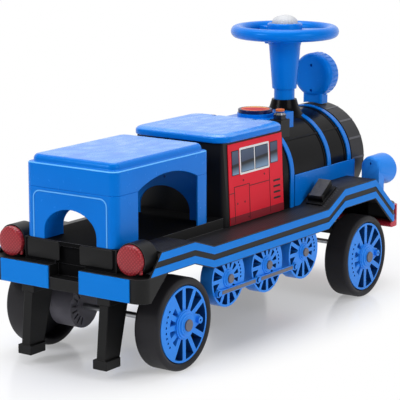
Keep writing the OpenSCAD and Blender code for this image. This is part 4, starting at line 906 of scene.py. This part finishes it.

# A raised bead round the stool's rear panel, open at its foot, in a light blue that is its painted highlight
BEAD_HALF = 77 * MM
BEAD_CORNER = 14 * MM
BEAD_W = 2.2 * MM
BEAD_T = 1.2 * MM
BEAD_OUT = 1 * MM
BEAD_DROP = 5 * MM
BEAD_FOOT = 1 * MM
panel_low, panel_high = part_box("stool_rear_panel")
panel_h = panel_high.z - panel_low.z
bm = bmesh.new()
rounded(bm, blank(bm, (-panel_h, -BEAD_HALF), (panel_h, BEAD_HALF)), BEAD_CORNER, 6, "VERTICES")
inner = bm.faces[:]
bmesh.ops.inset_region(bm, faces=inner, thickness=BEAD_W, use_boundary=True, use_even_offset=True)
bmesh.ops.delete(bm, geom=inner, context="FACES")
bmesh.ops.solidify(bm, geom=bm.faces[:], thickness=BEAD_T)
bead_place = facing(Vector((panel_low.x - BEAD_OUT, 0, panel_low.z - BEAD_DROP)), "-x")
bmesh.ops.transform(bm, matrix=bead_place, verts=bm.verts)
trimmed(bm, (0, 0, panel_low.z + BEAD_FOOT), (0, 0, -1))
bmesh.ops.holes_fill(bm, edges=bm.edges[:], sides=0)
bmesh.ops.recalc_face_normals(bm, faces=bm.faces)
shown("stool_rear_bead", bm, [blue_painted_highlight], "stool", round_mm=0.5)

# The deep reveal behind the arch of the stool's rear panel
ARCH_HALF = 54 * MM
ARCH_CROWN = 40 * MM
ARCH_LEG = 14 * MM
REVEAL = 46 * MM
REVEAL_T = 2.5 * MM
REVEAL_BACK = 2.8 * MM
bm = bmesh.new()
bmesh.ops.create_circle(bm, segments=64, radius=1.0)
bmesh.ops.scale(bm, vec=(ARCH_CROWN, ARCH_HALF, 1.0), verts=bm.verts)
trimmed(bm, (0, 0, 0), (-1, 0, 0))
legs = bmesh.ops.extrude_vert_indiv(bm, verts=[v for v in bm.verts if abs(v.co.x) < TOUCHING])["verts"]
bmesh.ops.translate(bm, vec=(-ARCH_LEG, 0, 0), verts=legs)
walls = bmesh.ops.extrude_edge_only(bm, edges=bm.edges[:])["geom"]
bmesh.ops.translate(bm, vec=(0, 0, -REVEAL), verts=points_of(walls))
bmesh.ops.recalc_face_normals(bm, faces=bm.faces)
bmesh.ops.solidify(bm, geom=bm.faces[:], thickness=-REVEAL_T)
arch_place = facing(Vector((stool_low.x + REVEAL_BACK, 0, panel_low.z + ARCH_LEG)), "-x")
bmesh.ops.transform(bm, matrix=arch_place, verts=bm.verts)
bmesh.ops.recalc_face_normals(bm, faces=bm.faces)
shown("stool_arch_reveal", bm, [gloss_blue], "stool")


# Floor, light and camera

FLOOR_REACH = 30
FLOOR_DROP = 0.2 * MM
YAW, PITCH = radians(35.09), radians(-11.45)
AHEAD = Vector((cos(YAW), sin(YAW), 0))


def mirrored_rays(tree):
    """The tree's Light Path, and its rays that come by gloss or through clear plastic."""
    rays = add(tree, "LightPath").outputs
    kinds = {0: rays["Is Glossy Ray"], 1: rays["Is Transmission Ray"]}
    return rays, add(tree, "Math", kinds, operation="MAXIMUM")


def studio_floor():
    """White acrylic floor: it keeps the soft shadow near the train and goes to plain white further out."""
    look, tree, shader, coords = begun("White acrylic floor, polished")
    cloud = add(tree, "TexNoise", {"Vector": coords, "Scale": 1000 / 400})
    tones = {"Color1": linear("#EEF0F8"), "Color2": linear("#F4F5FB")}
    feed(tree, shader, {
        "Base Color": add(tree, "MixRGB", {"Fac": cloud, **tones}),
        "Roughness": 0.16,
        "Specular IOR Level": 0.35,
    })
    # The train is about two and a half times as long as it is wide, so its length is drawn in to match.
    round_train = add(tree, "Mapping", {"Vector": coords, "Scale": (0.4, 1.0, 1.0)})
    away = add(tree, "VectorMath", {0: round_train}, operation="LENGTH").outputs["Value"]
    reach = {"From Min": 0.14, "From Max": 0.3, "To Min": 0.25}
    far = add(tree, "MapRange", {"Value": away, **reach}, interpolation_type="SMOOTHSTEP")
    # The plain white is only for the eye and for gloss: it throws no light on the train.
    rays, mirrored = mirrored_rays(tree)
    seen = add(tree, "Math", {0: rays["Is Camera Ray"], 1: mirrored}, operation="MAXIMUM")
    white = add(tree, "Math", {0: far, 1: seen}, operation="MULTIPLY")
    plain = add(tree, "Emission", {"Color": (1.0, 1.0, 1.0, 1.0), "Strength": 1.0})
    surface = add(tree, "MixShader", {0: white, 1: shader, 2: plain})
    feed(tree, tree.nodes["Material Output"], {"Surface": surface})
    return look


bm = bmesh.new()
bmesh.ops.create_grid(bm, x_segments=1, y_segments=1, size=FLOOR_REACH)
bmesh.ops.translate(bm, vec=(0, 0, -FLOOR_DROP), verts=bm.verts)
mesh = bpy.data.meshes.new("floor")
bm.to_mesh(mesh)
bm.free()
mesh.materials.append(studio_floor())
floor = bpy.data.objects.new("floor", mesh)
bpy.context.scene.collection.objects.link(floor)
floor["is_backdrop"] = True


def softbox(name, place, aim, size, watts):
    """A square area lamp that looks at a point."""
    data = bpy.data.lights.new(name, "AREA")
    data.shape = "SQUARE"
    data.size = size
    data.energy = watts
    lamp = bpy.data.objects.new(name, data)
    lamp.location = place
    lamp.rotation_mode = "QUATERNION"
    lamp.rotation_quaternion = (Vector(aim) - Vector(place)).to_track_quat("-Z", "Y")
    bpy.context.scene.collection.objects.link(lamp)


softbox("top softbox", (0.1, 0.2, 2.4), (0, 0, 0.2), 1.8, 34)
softbox("rear softbox", (-2.0, 0.9, 1.5), (0, 0, 0.25), 0.8, 21)
softbox("right softbox", (-0.3, -2.4, 1.3), (0, 0, 0.25), 1.4, 22)


def studio_world():
    """White backdrop beyond the train, which the camera and gloss see, and a dim room behind the camera."""
    world = bpy.data.worlds.new("Studio")
    world.use_nodes = True
    tree = world.node_tree
    way = add(tree, "TexCoord").outputs["Generated"]
    front = add(tree, "VectorMath", {0: way, 1: AHEAD}, operation="DOT_PRODUCT").outputs["Value"]
    fade = {"From Min": -0.2, "From Max": 0.5, "To Min": 0.2, "To Max": 1.0}
    backdrop = add(tree, "MapRange", {"Value": front, **fade})
    rays, mirrored = mirrored_rays(tree)
    gloss = add(tree, "Mix", {"Factor": mirrored, "A": 0.38, "B": backdrop})
    level = add(tree, "Mix", {"Factor": rays["Is Camera Ray"], "A": gloss, "B": 1.0})
    feed(tree, tree.nodes["Background"], {"Color": (1.0, 1.0, 1.0, 1.0), "Strength": level})
    return world


bpy.context.scene.world = studio_world()

lens = bpy.data.cameras.new("camera")
lens.lens = 157.84
lens.sensor_width = 36
lens.clip_end = 100
view_line = Vector((cos(YAW) * cos(PITCH), sin(YAW) * cos(PITCH), sin(PITCH)))
camera = bpy.data.objects.new("camera", lens)
camera.location = (-2.5556, -1.7685, 0.8454)
camera.rotation_mode = "QUATERNION"
camera.rotation_quaternion = view_line.to_track_quat("-Z", "Y")
bpy.context.scene.collection.objects.link(camera)
bpy.context.scene.camera = camera
bpy.context.scene.view_settings.view_transform = "Standard"

low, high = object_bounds()
